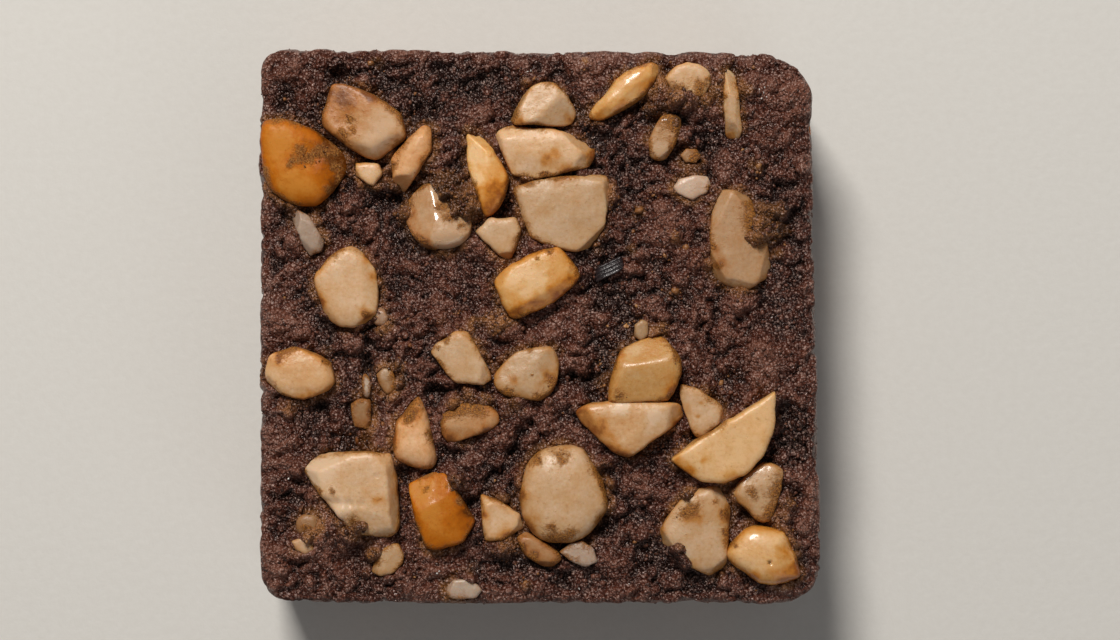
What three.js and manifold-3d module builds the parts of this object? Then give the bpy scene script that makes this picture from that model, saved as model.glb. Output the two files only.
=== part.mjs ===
// A square protein bar: a slab of moist cocoa dough with chopped roasted nuts pressed into it.
// Millimetres, +Z up. The origin is under the middle of the bar, on the face that it rests on.
import * as THREE from "three";
import { ImprovedNoise } from "three/addons/math/ImprovedNoise.js";
import { mergeVertices } from "three/addons/utils/BufferGeometryUtils.js";
import Module from "manifold-3d";

const wasm = await Module();
wasm.setup();

// The slab of dough
const BAR = { width: 52.5, depth: 51.9, height: 15.0 };
const CORNER = { backLeft: 2.1, backRight: 4.4, frontLeft: 3.0, frontRight: 3.8 };
const RIGHT_TAPER = 1.1; // the right side is drawn in by this much at the back
const BACK_TAPER = 0.5; // the back side is drawn in by this much at the right
const EDGE_WEAR = 0.3; // how far the top edges are rubbed in
const GRID = { across: 20, up: 5 }; // cells over the slab's top and up its sides
const GRID_SPREAD = 1.1; // angle of the sine that draws the cells together toward the edges
const BASE_TRIM = 2.5; // dough below the base, cut off level

// Crumbly relief: waves of one length and height each
const LUMPS = { length: 6.5, height: 0.34 };
const CLODS = { length: 2.7, height: 0.3 };
const SIDE_RELIEF = 0.45; // the pressed sides are this much as rough as the top

// Mounds of dough pushed up over the nuts, and hollows between them
const MOUNDS = [
  { at: [13.3, 21.2], reach: 2.4, height: 1.5 },
  { at: [21.4, 9.6], reach: 2.2, height: 1.2 },
  { at: [-8.4, 12.4], reach: 2.2, height: 1.3 },
  { at: [-17.2, -20.2], reach: 1.9, height: 1.0 },
  { at: [23.4, -15.6], reach: 1.8, height: 0.9 },
  { at: [-3.9, 11.2], reach: 1.4, height: -0.9 },
  { at: [2.3, -24.0], reach: 1.5, height: -0.8 },
  { at: [-16.2, -2.8], reach: 1.5, height: -0.7 },
  { at: [20.0, 1.4], reach: 1.8, height: -0.6 },
];

// The nuts
const POCKET_GAP = 0.3; // air between a nut and the dough or its neighbour
const SINK_SHARE = 0.42; // depth below the surface, as a share of the nut's width
const LEAST_SINK = 0.8;
const FACETS = [
  { upTo: 3.6, around: 7, over: 4 },
  { upTo: 6.3, around: 9, over: 5 },
  { upTo: 9.6, around: 12, over: 5 },
  { upTo: Infinity, around: 14, over: 6 },
];

// How a nut broke: squareness of its outline, flatness of its crown and sharpness of its chops
const WHOLE = { square: 2.2, crown: 2.3, sharp: 9 };
const CHUNK = { square: 2.6, crown: 3.0, sharp: 11 };
const SLAB = { square: 3.0, crown: 4.8, sharp: 14 };
const SLIVER = { square: 2.0, crown: 2.4, sharp: 9 };
const HALF = { square: 2.2, crown: 2.6, sharp: 22 };

// Roasts: colour and roughness of the nut
const ROAST = {
  white: new THREE.MeshStandardMaterial({ color: "#d9c6a4", roughness: 0.55, metalness: 0 }),
  cream: new THREE.MeshStandardMaterial({ color: "#d2b083", roughness: 0.5, metalness: 0 }),
  gold: new THREE.MeshStandardMaterial({ color: "#c98f43", roughness: 0.45, metalness: 0 }),
  tan: new THREE.MeshStandardMaterial({ color: "#a9743f", roughness: 0.5, metalness: 0 }),
  orange: new THREE.MeshStandardMaterial({ color: "#b0661c", roughness: 0.42, metalness: 0 }),
};
const COCOA = new THREE.MeshStandardMaterial({ color: "#4b332c", roughness: 0.62, metalness: 0 });

// A nut: its roast, how it broke, where it lies on its face, [length, width, rise above the dough],
// the bearing of its length, and its flat chops as [bearing, distance from its middle].
function nut(roast, broke, at, [length, width, rise], turn, chops = [], lean = [0, 0]) {
  const sink = Math.max(LEAST_SINK, width * SINK_SHARE);
  return { roast, broke, at, length, width, rise, sink, turn, chops, lean };
}

// Nuts on the top, the uppermost first: a later one is cut back where an earlier one covers it
const TOP_NUTS = [
  nut("orange", WHOLE, [-22.2, 15.5], [10.0, 9.1, 1.6], -60, [[63, 3.1], [180, 4.1]], [0, 4]),
  nut("tan", CHUNK, [-16.7, 19.3], [9.0, 7.0, 2.0], -42, [[162, 4.0], [237, 2.7], [18, 3.6], [75, 3.0]]),
  nut("gold", HALF, [18.0, -10.7], [12.6, 6.8, 2.3], 35, [[125, 1.7], [-3, 4.0], [231, 5.1]]),
  nut("cream", WHOLE, [2.1, -15.9], [9.5, 8.8, 2.1], -30, [[140, 4.2]]),
  nut("cream", CHUNK, [0.1, 20.7], [7.0, 5.2, 2.2], 0, [[270, 1.8], [147, 2.4], [28, 2.5]], [-20, 10]),
  nut("cream", CHUNK, [0.3, 16.6], [10.2, 4.8, 1.7], -8, [[204, 4.1], [52, 3.5]]),
  nut("cream", SLAB, [2.0, 10.8], [10.4, 8.2, 1.2], 3, [[198, 4.0], [-3, 4.5], [96, 3.0], [250, 3.3]]),
  nut("gold", SLIVER, [-5.0, 14.6], [9.6, 4.0, 1.6], 101, [[188, 1.85], [33, 1.75], [-36, 2.85]]),
  nut("tan", WHOLE, [-9.9, 10.4], [7.4, 6.4, 1.5], -28),
  nut("gold", CHUNK, [9.9, -4.3], [8.4, 7.4, 2.4], 20, [[270, 2.9], [8, 3.4], [162, 2.9], [95, 3.3]]),
  nut("cream", CHUNK, [8.6, -9.4], [11.8, 6.6, 1.8], -3, [[90, 2.3], [227, 2.85], [-57, 2.65]]),
  nut("cream", SLAB, [15.2, -7.8], [5.8, 4.4, 1.2], -60, [[188, 1.8], [63, 1.7], [5, 1.9]]),
  nut("gold", WHOLE, [21.0, -21.5], [8.6, 6.1, 2.2], -20, [[138, 3.05], [235, 2.5], [20, 3.1]]),
  nut("cream", CHUNK, [20.5, -15.7], [6.6, 5.4, 1.5], 60, [[-18, 1.9], [227, 2.1], [127, 1.9]]),
  nut("cream", CHUNK, [15.0, -19.4], [9.0, 6.9, 1.2], 68, [[-3, 2.75], [129, 2.6], [236, 3.3]]),
  nut("cream", SLAB, [-17.0, -15.6], [13, 9.8, 2.2], -30, [[3, 3.9], [90, 3.7], [212, 3.7], [250, 3.3]]),
  nut("orange", CHUNK, [-9.4, -17.4], [8.8, 6.8, 2.0], 100, [[197, 2.6], [115, 3.5], [34, 2.6], [-70, 3.4]]),
  nut("tan", WHOLE, [-12.0, -10.2], [7.8, 4.7, 1.8], 105, [[15, 2.0]]),
  nut("cream", SLAB, [-3.8, -18.0], [5.8, 4.2, 0.9], -45, [[180, 1.5], [60, 1.6]]),
  nut("tan", SLIVER, [-0.4, -21.2], [5.2, 2.4, 0.8], -32),
  nut("white", CHUNK, [3.6, -21.4], [3.4, 1.8, 0.6], -15),
  nut("gold", CHUNK, [-0.5, 4.0], [9.4, 5.6, 2.0], 30, [[-58, 1.9], [121, 2.45], [204, 3.8]]),
  nut("cream", CHUNK, [-1.1, -4.4], [7.4, 5.4, 1.4], 22, [[128, 1.6], [5, 2.75], [260, 2.2]]),
  nut("cream", SLAB, [-7.4, -3.1], [7.0, 5.6, 1.5], -36, [[25, 1.8], [218, 1.9], [107, 2.5]]),
  nut("tan", CHUNK, [-6.9, -9.1], [5.6, 3.0, 1.0], 12),
  nut("cream", CHUNK, [-18.2, 3.6], [8.2, 7.0, 1.6], 95, [[0, 2.85], [130, 3.05], [45, 3.1], [200, 2.8]]),
  nut("cream", CHUNK, [-22.7, -4.6], [7.0, 5.6, 1.6], 0, [[-63, 2.5], [58, 2.5], [180, 3.2]]),
  nut("gold", WHOLE, [8.0, 22.2], [9.2, 3.3, 1.6], 35),
  nut("cream", CHUNK, [14.0, 23.4], [4.8, 3.0, 1.0], -5),
  nut("tan", CHUNK, [11.5, 17.7], [4.4, 2.8, 1.0], 72),
  nut("cream", SLIVER, [18.0, 20.8], [7.2, 1.9, 0.8], 92),
  nut("tan", SLAB, [18.7, 8.0], [9.8, 6.8, 1.0], 97, [[173, 2.85], [218, 3.5], [30, 3.9]]),
  nut("tan", CHUNK, [-12.0, 16.0], [7.0, 4.0, 1.5], 62, [[0, 1.8]]),
  nut("cream", CHUNK, [-4.0, 8.4], [4.7, 4.0, 1.1], -15, [[234, 1.7]]),
  nut("white", SLIVER, [-22.0, 8.6], [5.0, 2.2, 0.7], -63),
  nut("cream", CHUNK, [-16.4, 14.2], [2.7, 2.0, 0.7], -25),
  nut("white", CHUNK, [14.2, 13.1], [3.4, 2.3, 0.6], 5),
  nut("tan", CHUNK, [14.2, 16.0], [2.1, 1.5, 0.5], 15),
  nut("tan", CHUNK, [-14.4, -5.2], [2.9, 2.0, 0.6], -60),
  nut("tan", CHUNK, [-16.9, -8.3], [3.3, 2.1, 0.5], 95),
  nut("tan", WHOLE, [-22.0, -18.7], [2.3, 2.1, 0.7], 0),
  nut("tan", CHUNK, [-22.4, -20.8], [2.1, 1.3, 0.5], -30),
  nut("cream", CHUNK, [-14.5, -22.0], [3.4, 2.5, 0.7], 55),
  nut("white", CHUNK, [-7.3, -24.5], [3.5, 2.0, 0.4], -8),
  nut("white", WHOLE, [-14.7, 0.9], [1.9, 1.7, 0.8], 0),
  nut("white", SLIVER, [-16.5, -5.6], [2.4, 0.9, 0.4], 95),
  nut("cream", CHUNK, [9.4, -0.1], [1.9, 1.4, 0.8], 80),
];

// Nuts in the sides, nearly flush: along the side from its middle, then up from the base
const FRONT_NUTS = [
  nut("cream", CHUNK, [-16.4, 6.4], [7.2, 4.6, 0.3], 18, [[60, 2.2]]),
  nut("gold", WHOLE, [1.8, 8.3], [5.6, 4.0, 0.4], -35),
  nut("tan", CHUNK, [15.6, 4.8], [4.8, 3.2, 0.25], 8),
];
const RIGHT_NUTS = [
  nut("tan", CHUNK, [-12.8, 7.6], [6.0, 4.2, 0.3], -22, [[100, 1.8]]),
  nut("cream", SLAB, [3.4, 5.6], [6.8, 4.4, 0.25], 12, [[200, 2.9]]),
  nut("orange", WHOLE, [17.2, 8.8], [4.4, 3.6, 0.4], 50),
];
const BACK_NUTS = [
  nut("gold", CHUNK, [-14.0, 6.8], [6.6, 4.4, 0.3], 30, [[-50, 2.0]]),
  nut("white", CHUNK, [0.8, 5.0], [4.6, 3.0, 0.25], -12),
  nut("cream", CHUNK, [16.6, 8.2], [7.4, 4.8, 0.3], -6, [[160, 3.0]]),
];
const LEFT_NUTS = [
  nut("tan", CHUNK, [-3.2, 6.2], [6.2, 4.0, 0.3], -15, [[75, 1.8]]),
  nut("cream", WHOLE, [12.6, 7.8], [5.4, 4.2, 0.4], 40),
];

const radians = THREE.MathUtils.degToRad;
const perlin = new ImprovedNoise();

// One wave of relief at a point, between minus and plus its height.
function relief(wave, point) {
  return wave.height * perlin.noise(point.x / wave.length, point.y / wave.length, point.z / wave.length);
}

// A primitive with its seams closed, ready to be reshaped.
function seamless(geometry) {
  geometry.deleteAttribute("normal");
  geometry.deleteAttribute("uv");
  return mergeVertices(geometry, 1e-4);
}

// Moves every vertex of a geometry by a function that alters it in place.
function reshape(geometry, alter) {
  const positions = geometry.getAttribute("position");
  const point = new THREE.Vector3();
  for (let i = 0; i < positions.count; i += 1) {
    alter(point.fromBufferAttribute(positions, i));
    positions.setXYZ(i, point.x, point.y, point.z);
  }
  return geometry;
}

// Draws a distance from the middle outward, so that cells are closer together near the edge.
function spread(distance, half) {
  return (half * Math.sin((GRID_SPREAD * distance) / half)) / Math.sin(GRID_SPREAD);
}

// Height of the mounds and hollows at a point of the plan.
function mounded(x, y) {
  let height = 0;
  for (const mound of MOUNDS) {
    const away = Math.hypot(x - mound.at[0], y - mound.at[1]) / mound.reach;
    height += mound.height * Math.exp(-away * away);
  }
  return height;
}

// Draws a point of the square plan in to the round of its upright corner.
function roundCorner(point) {
  const back = point.y > 0 ? "back" : "front";
  const radius = CORNER[back + (point.x > 0 ? "Right" : "Left")];
  const inX = Math.abs(point.x) - (BAR.width / 2 - radius);
  const inY = Math.abs(point.y) - (BAR.depth / 2 - radius);
  if (inX <= 0 || inY <= 0) return;
  const pull = Math.max(inX, inY) / Math.hypot(inX, inY);
  point.x -= Math.sign(point.x) * inX * (1 - pull);
  point.y -= Math.sign(point.y) * inY * (1 - pull);
}

// The dough: a box with uneven corners and sides, worn top edges and crumbly relief.
function doughGeometry() {
  const { width, depth, height } = BAR;
  const tall = height + BASE_TRIM;
  const box = new THREE.BoxGeometry(width, depth, tall, GRID.across, GRID.across, GRID.up);
  box.translate(0, 0, height - tall / 2);
  return reshape(seamless(box), (point) => {
    const onSide = Math.abs(point.x) > width / 2 - 0.01 || Math.abs(point.y) > depth / 2 - 0.01;
    const onTop = point.z > height - 0.01;
    point.x = spread(point.x, width / 2);
    point.y = spread(point.y, depth / 2);
    roundCorner(point);
    const bumps = relief(LUMPS, point) + relief(CLODS, point);
    const outward = onSide ? SIDE_RELIEF * bumps - (onTop ? EDGE_WEAR : 0) : 0;
    const upward = onTop ? bumps + mounded(point.x, point.y) - (onSide ? EDGE_WEAR : 0) : 0;
    const plan = 1 + outward / Math.max(Math.abs(point.x), Math.abs(point.y), 1);
    point.x *= plan;
    point.y *= plan;
    point.z += upward;
    const toBackRight = (0.5 + point.x / width) * (0.5 + point.y / depth);
    point.x -= RIGHT_TAPER * toBackRight;
    point.y -= BACK_TAPER * toBackRight;
  });
}

// Distance from a nut's middle to its outline: a squared oval cut by the chops, with rounded joins.
function outlineReach(piece, bearing) {
  const { square, sharp } = piece.broke;
  const along = (2 * Math.cos(bearing - radians(piece.turn))) / piece.length;
  const across = (2 * Math.sin(bearing - radians(piece.turn))) / piece.width;
  const oval = (Math.abs(along) ** square + Math.abs(across) ** square) ** (1 / square);
  let total = oval ** sharp;
  for (const [chopBearing, distance] of piece.chops) {
    const facing = Math.cos(bearing - radians(chopBearing));
    if (facing > 0) total += (facing / distance) ** sharp;
  }
  return total ** (-1 / sharp);
}

// A nut about its middle, standing its rise above the dough and grown on all sides by the margin.
function nutGeometry(piece, margin = 0) {
  const { around, over } = FACETS.find((facet) => piece.length <= facet.upTo);
  const ball = new THREE.SphereGeometry(1, around, over);
  ball.rotateX(Math.PI / 2);
  ball.scale(piece.length, piece.width, piece.rise + piece.sink);
  ball.rotateZ(radians(piece.turn));
  const { crown } = piece.broke;
  return reshape(seamless(ball), (point) => {
    const reach = outlineReach(piece, Math.atan2(point.y, point.x)) + margin;
    const tall = (point.z > 0 ? piece.rise : piece.sink) + margin;
    const flat = Math.hypot(point.x, point.y) / reach;
    const size = flat ** crown + (Math.abs(point.z) / tall) ** crown;
    point.multiplyScalar(size ** (-1 / crown));
  });
}

// The solid of a geometry where a matrix places it.
function solidAt(geometry, matrix) {
  const placed = geometry.clone().applyMatrix4(matrix);
  const vertProperties = new Float32Array(placed.getAttribute("position").array);
  const triVerts = new Uint32Array(placed.index.array);
  return new wasm.Manifold(new wasm.Mesh({ numProp: 3, vertProperties, triVerts }));
}

// The geometry of a solid's largest body, taken back to the frame of a placing matrix.
function geometryOf(solid, matrix) {
  const bodies = solid.decompose();
  bodies.sort((one, other) => other.volume() - one.volume());
  const { vertProperties, triVerts } = bodies[0].getMesh();
  const geometry = new THREE.BufferGeometry();
  geometry.setAttribute("position", new THREE.BufferAttribute(vertProperties, 3));
  geometry.setIndex(new THREE.BufferAttribute(triVerts, 1));
  geometry.applyMatrix4(matrix.clone().invert());
  geometry.computeVertexNormals();
  return geometry;
}

// A side of the bar with its own x along it, y up it and z out of it.
function sideFace(reach, spin) {
  const face = new THREE.Group();
  face.position.set(reach * Math.sin(spin), -reach * Math.cos(spin), 0);
  face.rotation.set(Math.PI / 2, 0, spin, "ZXY");
  return face;
}

// The top of the bar, with x and y as the bar's own.
function topFace() {
  const face = new THREE.Group();
  face.position.z = BAR.height;
  return face;
}

// Sets a nut into its face, tipped down by its lean toward the lean's bearing.
function placeNut(face, piece, number) {
  const mesh = new THREE.Mesh(nutGeometry(piece), ROAST[piece.roast]);
  mesh.name = `nut_${String(number).padStart(2, "0")}`;
  mesh.position.set(piece.at[0], piece.at[1], 0);
  const [bearing, tip] = piece.lean.map(radians);
  mesh.quaternion.setFromAxisAngle(new THREE.Vector3(-Math.sin(bearing), Math.cos(bearing), 0), tip);
  face.add(mesh);
  return { mesh, piece };
}

// The right and back faces follow the taper of their sides.
const rightTurn = Math.atan(RIGHT_TAPER / BAR.depth);
const backTurn = Math.atan(BACK_TAPER / BAR.width);
const faces = [
  [topFace(), TOP_NUTS],
  [sideFace(BAR.depth / 2, 0), FRONT_NUTS],
  [sideFace((BAR.width - RIGHT_TAPER) / 2, Math.PI / 2 + rightTurn), RIGHT_NUTS],
  [sideFace((BAR.depth - BACK_TAPER) / 2, Math.PI - backTurn), BACK_NUTS],
  [sideFace(BAR.width / 2, -Math.PI / 2), LEFT_NUTS],
];

const group = new THREE.Group();
group.name = "protein_bar";
const dough = new THREE.Mesh(doughGeometry(), COCOA);
dough.name = "dough";
group.add(dough);
const placed = [];
for (const [face, pieces] of faces) {
  group.add(face);
  for (const piece of pieces) placed.push(placeNut(face, piece, placed.length + 1));
}
group.updateMatrixWorld(true);

// The dough is levelled at its base. Each nut gives way to the ones above it, and the dough to them all.
const trimmed = new THREE.BoxGeometry(2 * BAR.width, 2 * BAR.depth, 2 * BASE_TRIM);
trimmed.translate(0, 0, -BASE_TRIM);
const below = solidAt(seamless(trimmed), group.matrixWorld);
let slab = solidAt(dough.geometry, dough.matrixWorld).subtract(below);
const pockets = [];
for (const { mesh, piece } of placed) {
  let solid = solidAt(mesh.geometry, mesh.matrixWorld);
  for (const pocket of pockets) solid = solid.subtract(pocket);
  mesh.geometry = geometryOf(solid, mesh.matrixWorld);
  const pocket = solidAt(nutGeometry(piece, POCKET_GAP), mesh.matrixWorld);
  pockets.push(pocket);
  slab = slab.subtract(pocket);
}
dough.geometry = geometryOf(slab, dough.matrixWorld);

export default group;
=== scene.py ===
"""A protein bar in a plain studio: crumbly cocoa dough, chopped roasted nuts and loose crumbs."""

import logging
import math
from dataclasses import dataclass, field
from enum import Enum
from functools import cached_property
from typing import Any, Iterable, Iterator, Optional, Union

import bmesh
import bpy
import numpy as np
from mathutils import Matrix, Vector, noise
from mathutils.bvhtree import BVHTree


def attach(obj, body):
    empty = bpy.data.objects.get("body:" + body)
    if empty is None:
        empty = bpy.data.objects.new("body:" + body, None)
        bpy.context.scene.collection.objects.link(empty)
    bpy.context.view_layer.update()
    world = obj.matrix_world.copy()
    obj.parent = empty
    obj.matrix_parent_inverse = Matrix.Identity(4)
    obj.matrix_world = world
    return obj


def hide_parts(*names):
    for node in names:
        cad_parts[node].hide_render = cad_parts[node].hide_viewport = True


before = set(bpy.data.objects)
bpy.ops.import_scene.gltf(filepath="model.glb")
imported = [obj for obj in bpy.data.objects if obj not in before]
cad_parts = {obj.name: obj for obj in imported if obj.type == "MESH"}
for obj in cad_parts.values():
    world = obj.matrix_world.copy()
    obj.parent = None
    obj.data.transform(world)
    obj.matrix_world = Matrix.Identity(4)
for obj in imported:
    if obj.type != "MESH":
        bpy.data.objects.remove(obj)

LOG = logging.getLogger("protein_bar")
MM = 0.001
BODY = "root"
UP = Vector((0.0, 0.0, 1.0))
DOWN = Vector((0.0, 0.0, -1.0))
DROP_HEIGHT = 40.0
MID_NOISE = 0.5

Pair = tuple[float, float]
Triple = tuple[float, float, float]
Quad = tuple[float, float, float, float]
Colour = Quad
Waves = tuple[Triple, ...]
Landing = tuple[Optional[Vector], Optional[Vector]]


def tint(code: str) -> Colour:
    """Turns a colour code into a linear colour.

    Args:
        code: six-digit sRGB code with its # sign.

    Returns:
        Red, green, blue and an alpha of 1.
    """
    parts = [int(code[i : i + 2], 16) / 255 for i in (1, 3, 5)]
    red, green, blue = (c / 12.92 if c <= 0.04045 else ((c + 0.055) / 1.055) ** 2.4 for c in parts)
    return (red, green, blue, 1.0)


def ease(low: float, high: float, value: float) -> float:
    """Smooth step of a value from 0 at low to 1 at high."""
    share = min(1.0, max(0.0, (value - low) / (high - low)))
    return share * share * (3.0 - 2.0 * share)


def ripple(point: Vector, length: float, offset: float) -> float:
    """Gradient noise between -1 and 1 whose bumps are a length apart."""
    return noise.noise(point / length + Vector((offset, offset, offset)))


def waves(point: Vector, parts: Waves, start: float = 0.0) -> float:
    """Adds noises to a start. Each has a strength, the length of its bumps and an offset."""
    return sum((strength * ripple(point, length, offset) for strength, length, offset in parts), start)


def grease(point: Vector) -> float:
    """Noise that is high where oil of the nuts has soaked the dough."""
    return ripple(point, 4.0, 12.0)


def land(tree: BVHTree, start: Vector, way: Vector) -> Landing:
    """The place and the normal where a crumb on its way meets a surface, or nothing."""
    place, out, _, _ = tree.ray_cast(start, way)
    return place, out


class Roast(Enum):
    """How dark a nut was roasted. The value names its material slot."""

    WHITE = "nut_white"
    CREAM = "nut_cream"
    GOLD = "nut_gold"
    TAN = "nut_tan"
    ORANGE = "nut_orange"


class Break(Enum):
    """How a nut broke: squareness of its oval, flatness of its crown, sharpness of its chopped sides."""

    WHOLE = (2.2, 2.8, 14.0)
    CHUNK = (2.6, 5.0, 26.0)
    SLAB = (3.0, 7.0, 32.0)
    SLIVER = (2.0, 3.0, 18.0)
    HALF = (2.2, 9.0, 40.0)


class Face(Enum):
    """The face of the bar that a nut lies in."""

    TOP = "top"
    FRONT = "front"
    RIGHT = "right"
    BACK = "back"
    LEFT = "left"


class Wire:
    """An output socket of a material's node, whose arithmetic adds Math nodes."""

    def __init__(self, graph: "Graph", socket: bpy.types.NodeSocket) -> None:
        """Keeps the graph that the socket belongs to."""
        self.graph = graph
        self.socket = socket

    def _math(self, operation: str, first: "Number", second: "Number") -> "Wire":
        """A Math node on two values."""
        return self.graph.node("ShaderNodeMath", {"operation": operation}, {0: first, 1: second})

    def __add__(self, other: "Number") -> "Wire":
        """self + other."""
        return self._math("ADD", self, other)

    def __radd__(self, other: "Number") -> "Wire":
        """other + self."""
        return self._math("ADD", other, self)

    def __sub__(self, other: "Number") -> "Wire":
        """self - other."""
        return self._math("SUBTRACT", self, other)

    def __rsub__(self, other: "Number") -> "Wire":
        """other - self."""
        return self._math("SUBTRACT", other, self)

    def __mul__(self, other: "Number") -> "Wire":
        """self * other."""
        return self._math("MULTIPLY", self, other)


Number = Union[float, Wire]


class Graph:
    """The node tree of one material."""

    def __init__(self, name: str) -> None:
        """Starts a material with its Principled shader.

        Args:
            name: the material's name.
        """
        self.material = bpy.data.materials.new(name)
        self.material.use_nodes = True
        self.tree = self.material.node_tree
        self.shader = self.tree.nodes["Principled BSDF"]

    def feed(self, socket: bpy.types.NodeSocket, value: Any) -> None:
        """Links a wire to a socket, or sets the socket to a plain value.

        Args:
            socket: an input of a node.
            value: the wire or the value.
        """
        if isinstance(value, Wire):
            self.tree.links.new(value.socket, socket)
        else:
            socket.default_value = value

    def node(
        self,
        kind: str,
        settings: Optional[dict[str, Any]] = None,
        sockets: Optional[dict[Any, Any]] = None,
        output: Union[int, str] = 0,
    ) -> Wire:
        """Adds a node.

        Args:
            kind: the node's type.
            settings: its properties, or the stops of a ramp, set before its sockets.
            sockets: values or wires by input name or number.
            output: the output to hand back.

        Returns:
            The wire of that output.
        """
        made = self.tree.nodes.new(kind)
        for key, value in (settings or {}).items():
            if key == "stops":
                self._set_stops(made.color_ramp, value)
            else:
                setattr(made, key, value)
        for key, value in (sockets or {}).items():
            self.feed(made.inputs[key], value)
        return Wire(self, made.outputs[output])

    @staticmethod
    def _set_stops(ramp: bpy.types.ColorRamp, stops: Iterable[tuple[float, Colour]]) -> None:
        """Gives a ramp its stops.

        Args:
            ramp: the ramp, which starts with two stops.
            stops: place and colour of each, in order.
        """
        for index, (place, colour) in enumerate(stops):
            stop = ramp.elements[index] if index < 2 else ramp.elements.new(place)
            stop.position = place
            stop.color = colour

    def millimetres(self) -> Wire:
        """Object coordinates in millimetres."""
        place = self.node("ShaderNodeTexCoord", output="Object")
        return self.node("ShaderNodeVectorMath", {"operation": "SCALE"}, {0: place, "Scale": 1 / MM})

    def cloud(
        self, place: Wire, length: float, detail: float, rough: float, output: Union[int, str] = 0
    ) -> Wire:
        """Noise between 0 and 1 with features of a length in millimetres."""
        sockets = {"Vector": place, "Scale": 1 / length, "Detail": detail, "Roughness": rough}
        return self.node("ShaderNodeTexNoise", None, sockets, output)

    def cells(self, place: Wire, length: float, output: str) -> Wire:
        """Cells of a length in millimetres: the distance to their middles, or a colour for each."""
        return self.node("ShaderNodeTexVoronoi", None, {"Vector": place, "Scale": 1 / length}, output)

    def step(self, value: Wire, low: float, high: float) -> Wire:
        """Smooth step of a value from 0 at low to 1 at high."""
        settings = {"interpolation_type": "SMOOTHSTEP"}
        return self.node("ShaderNodeMapRange", settings, {"Value": value, "From Min": low, "From Max": high})

    def ramp(self, value: Wire, stops: Iterable[tuple[float, Colour]]) -> Wire:
        """A colour from a ramp."""
        return self.node("ShaderNodeValToRGB", {"stops": stops}, {"Fac": value})

    def mix(self, share: Number, first: Any, second: Any, blend: str = "MIX") -> Wire:
        """A colour between two."""
        settings = {"data_type": "RGBA", "blend_type": blend}
        return self.node("ShaderNodeMix", settings, {0: share, 6: first, 7: second}, 2)

    def painted(self, name: str) -> Wire:
        """A value that the mesh carries at its points."""
        return self.node("ShaderNodeAttribute", {"attribute_name": name}, None, "Fac")

    def bump(self, height: Wire, depth: float) -> Wire:
        """A normal from a height between 0 and 1, with a depth in millimetres."""
        return self.node("ShaderNodeBump", None, {"Height": height, "Distance": depth * MM})

    def finish(self, sockets: dict[str, Any]) -> bpy.types.Material:
        """Feeds the shader.

        Args:
            sockets: values or wires by the shader's input name.

        Returns:
            The finished material.
        """
        for key, value in sockets.items():
            self.feed(self.shader.inputs[key], value)
        return self.material


@dataclass(frozen=True)
class DoughFinish:
    """Moist cocoa crumb: rounded glossy grains, browner with oil, with painted shade: paler on grain tops and
    lumps, darker in creases and hollows; painted glints on some grains.
    """

    dark: Colour = tint("#240f0a")
    middle: Colour = tint("#51281b")
    light: Colour = tint("#774a3a")
    # Colour of the painted glints
    painted_glint: Colour = tint("#b4968a")
    oily: Colour = tint("#a06a38")
    oily_dark: Colour = tint("#54300f")
    sheen: Colour = (1.0, 0.86, 0.82, 1.0)
    grain: float = 0.27
    crumb: float = 0.62
    clump: float = 1.8
    bend: float = 0.5
    stray: float = 0.4
    roundness: float = 0.7
    grain_top_shading: float = 0.4
    crumb_top_shading: float = 0.45
    clump_share: float = 0.8
    relief_shading: float = 0.8
    darken: float = 0.22
    oil_patches: float = 1.2
    oil_step: Pair = (0.15, 1.0)
    oil_cover: float = 0.8
    painted_glint_step: Pair = (0.46, 0.66)
    painted_glint_cover: float = 1.3
    rough: float = 0.18
    rough_patches: float = 0.25
    grain_depth: float = 0.8
    crumb_depth: float = 0.9
    bump_depth: float = 0.28
    shine: float = 0.5

    def material(self) -> bpy.types.Material:
        """Builds the dough's material.

        Returns:
            The finished material.
        """
        graph = Graph("cocoa_dough")
        place = graph.millimetres()
        clumps = graph.cloud(place, self.clump, 3.0, 0.6)
        wander = graph.cloud(place, self.bend, 2.0, 0.5, "Color")
        sockets = {0: wander, 1: (self.stray,) * 3, 2: place}
        bent = graph.node("ShaderNodeVectorMath", {"operation": "MULTIPLY_ADD"}, sockets)
        near = graph.cells(bent, self.crumb, "Distance")
        tiny = graph.cells(bent, self.grain, "Distance")
        crumbs = self.roundness - near * near
        grains = self.roundness - tiny * tiny
        lots = graph.cells(bent, self.grain, "Color")
        lot = graph.node("ShaderNodeSeparateColor", None, {"Color": lots}, "Red")
        # Painted shade: the colour level follows the height of the grains, the crumbs and the relief, so tops
        # are paler and creases, cracks, seams and hollows darker; the clumps add tone at random.
        level = grains * self.grain_top_shading + crumbs * self.crumb_top_shading + clumps * self.clump_share
        level = level + graph.painted("relief") * self.relief_shading - self.darken
        colour = graph.ramp(level, ((0.0, self.dark), (0.5, self.middle), (1.0, self.light)))
        oiled = graph.ramp(level, ((0.0, self.oily_dark), (1.0, self.oily)))
        oil = graph.step(graph.painted("oil") + (clumps - MID_NOISE) * self.oil_patches, *self.oil_step)
        colour = graph.mix(oil * self.oil_cover, colour, oiled)
        # Painted glints: a pale pinkish grey mixed into the colour on some grain tops.
        painted_glints = graph.step(grains, *self.painted_glint_step) * lot * clumps * self.painted_glint_cover
        colour = graph.mix(painted_glints, colour, self.painted_glint)
        height = grains * self.grain_depth + crumbs * self.crumb_depth
        return graph.finish(
            {
                "Base Color": colour,
                "Roughness": self.rough + clumps * self.rough_patches,
                "Normal": graph.bump(height, self.bump_depth),
                "Specular IOR Level": self.shine,
                "Specular Tint": self.sheen,
            }
        )


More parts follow.
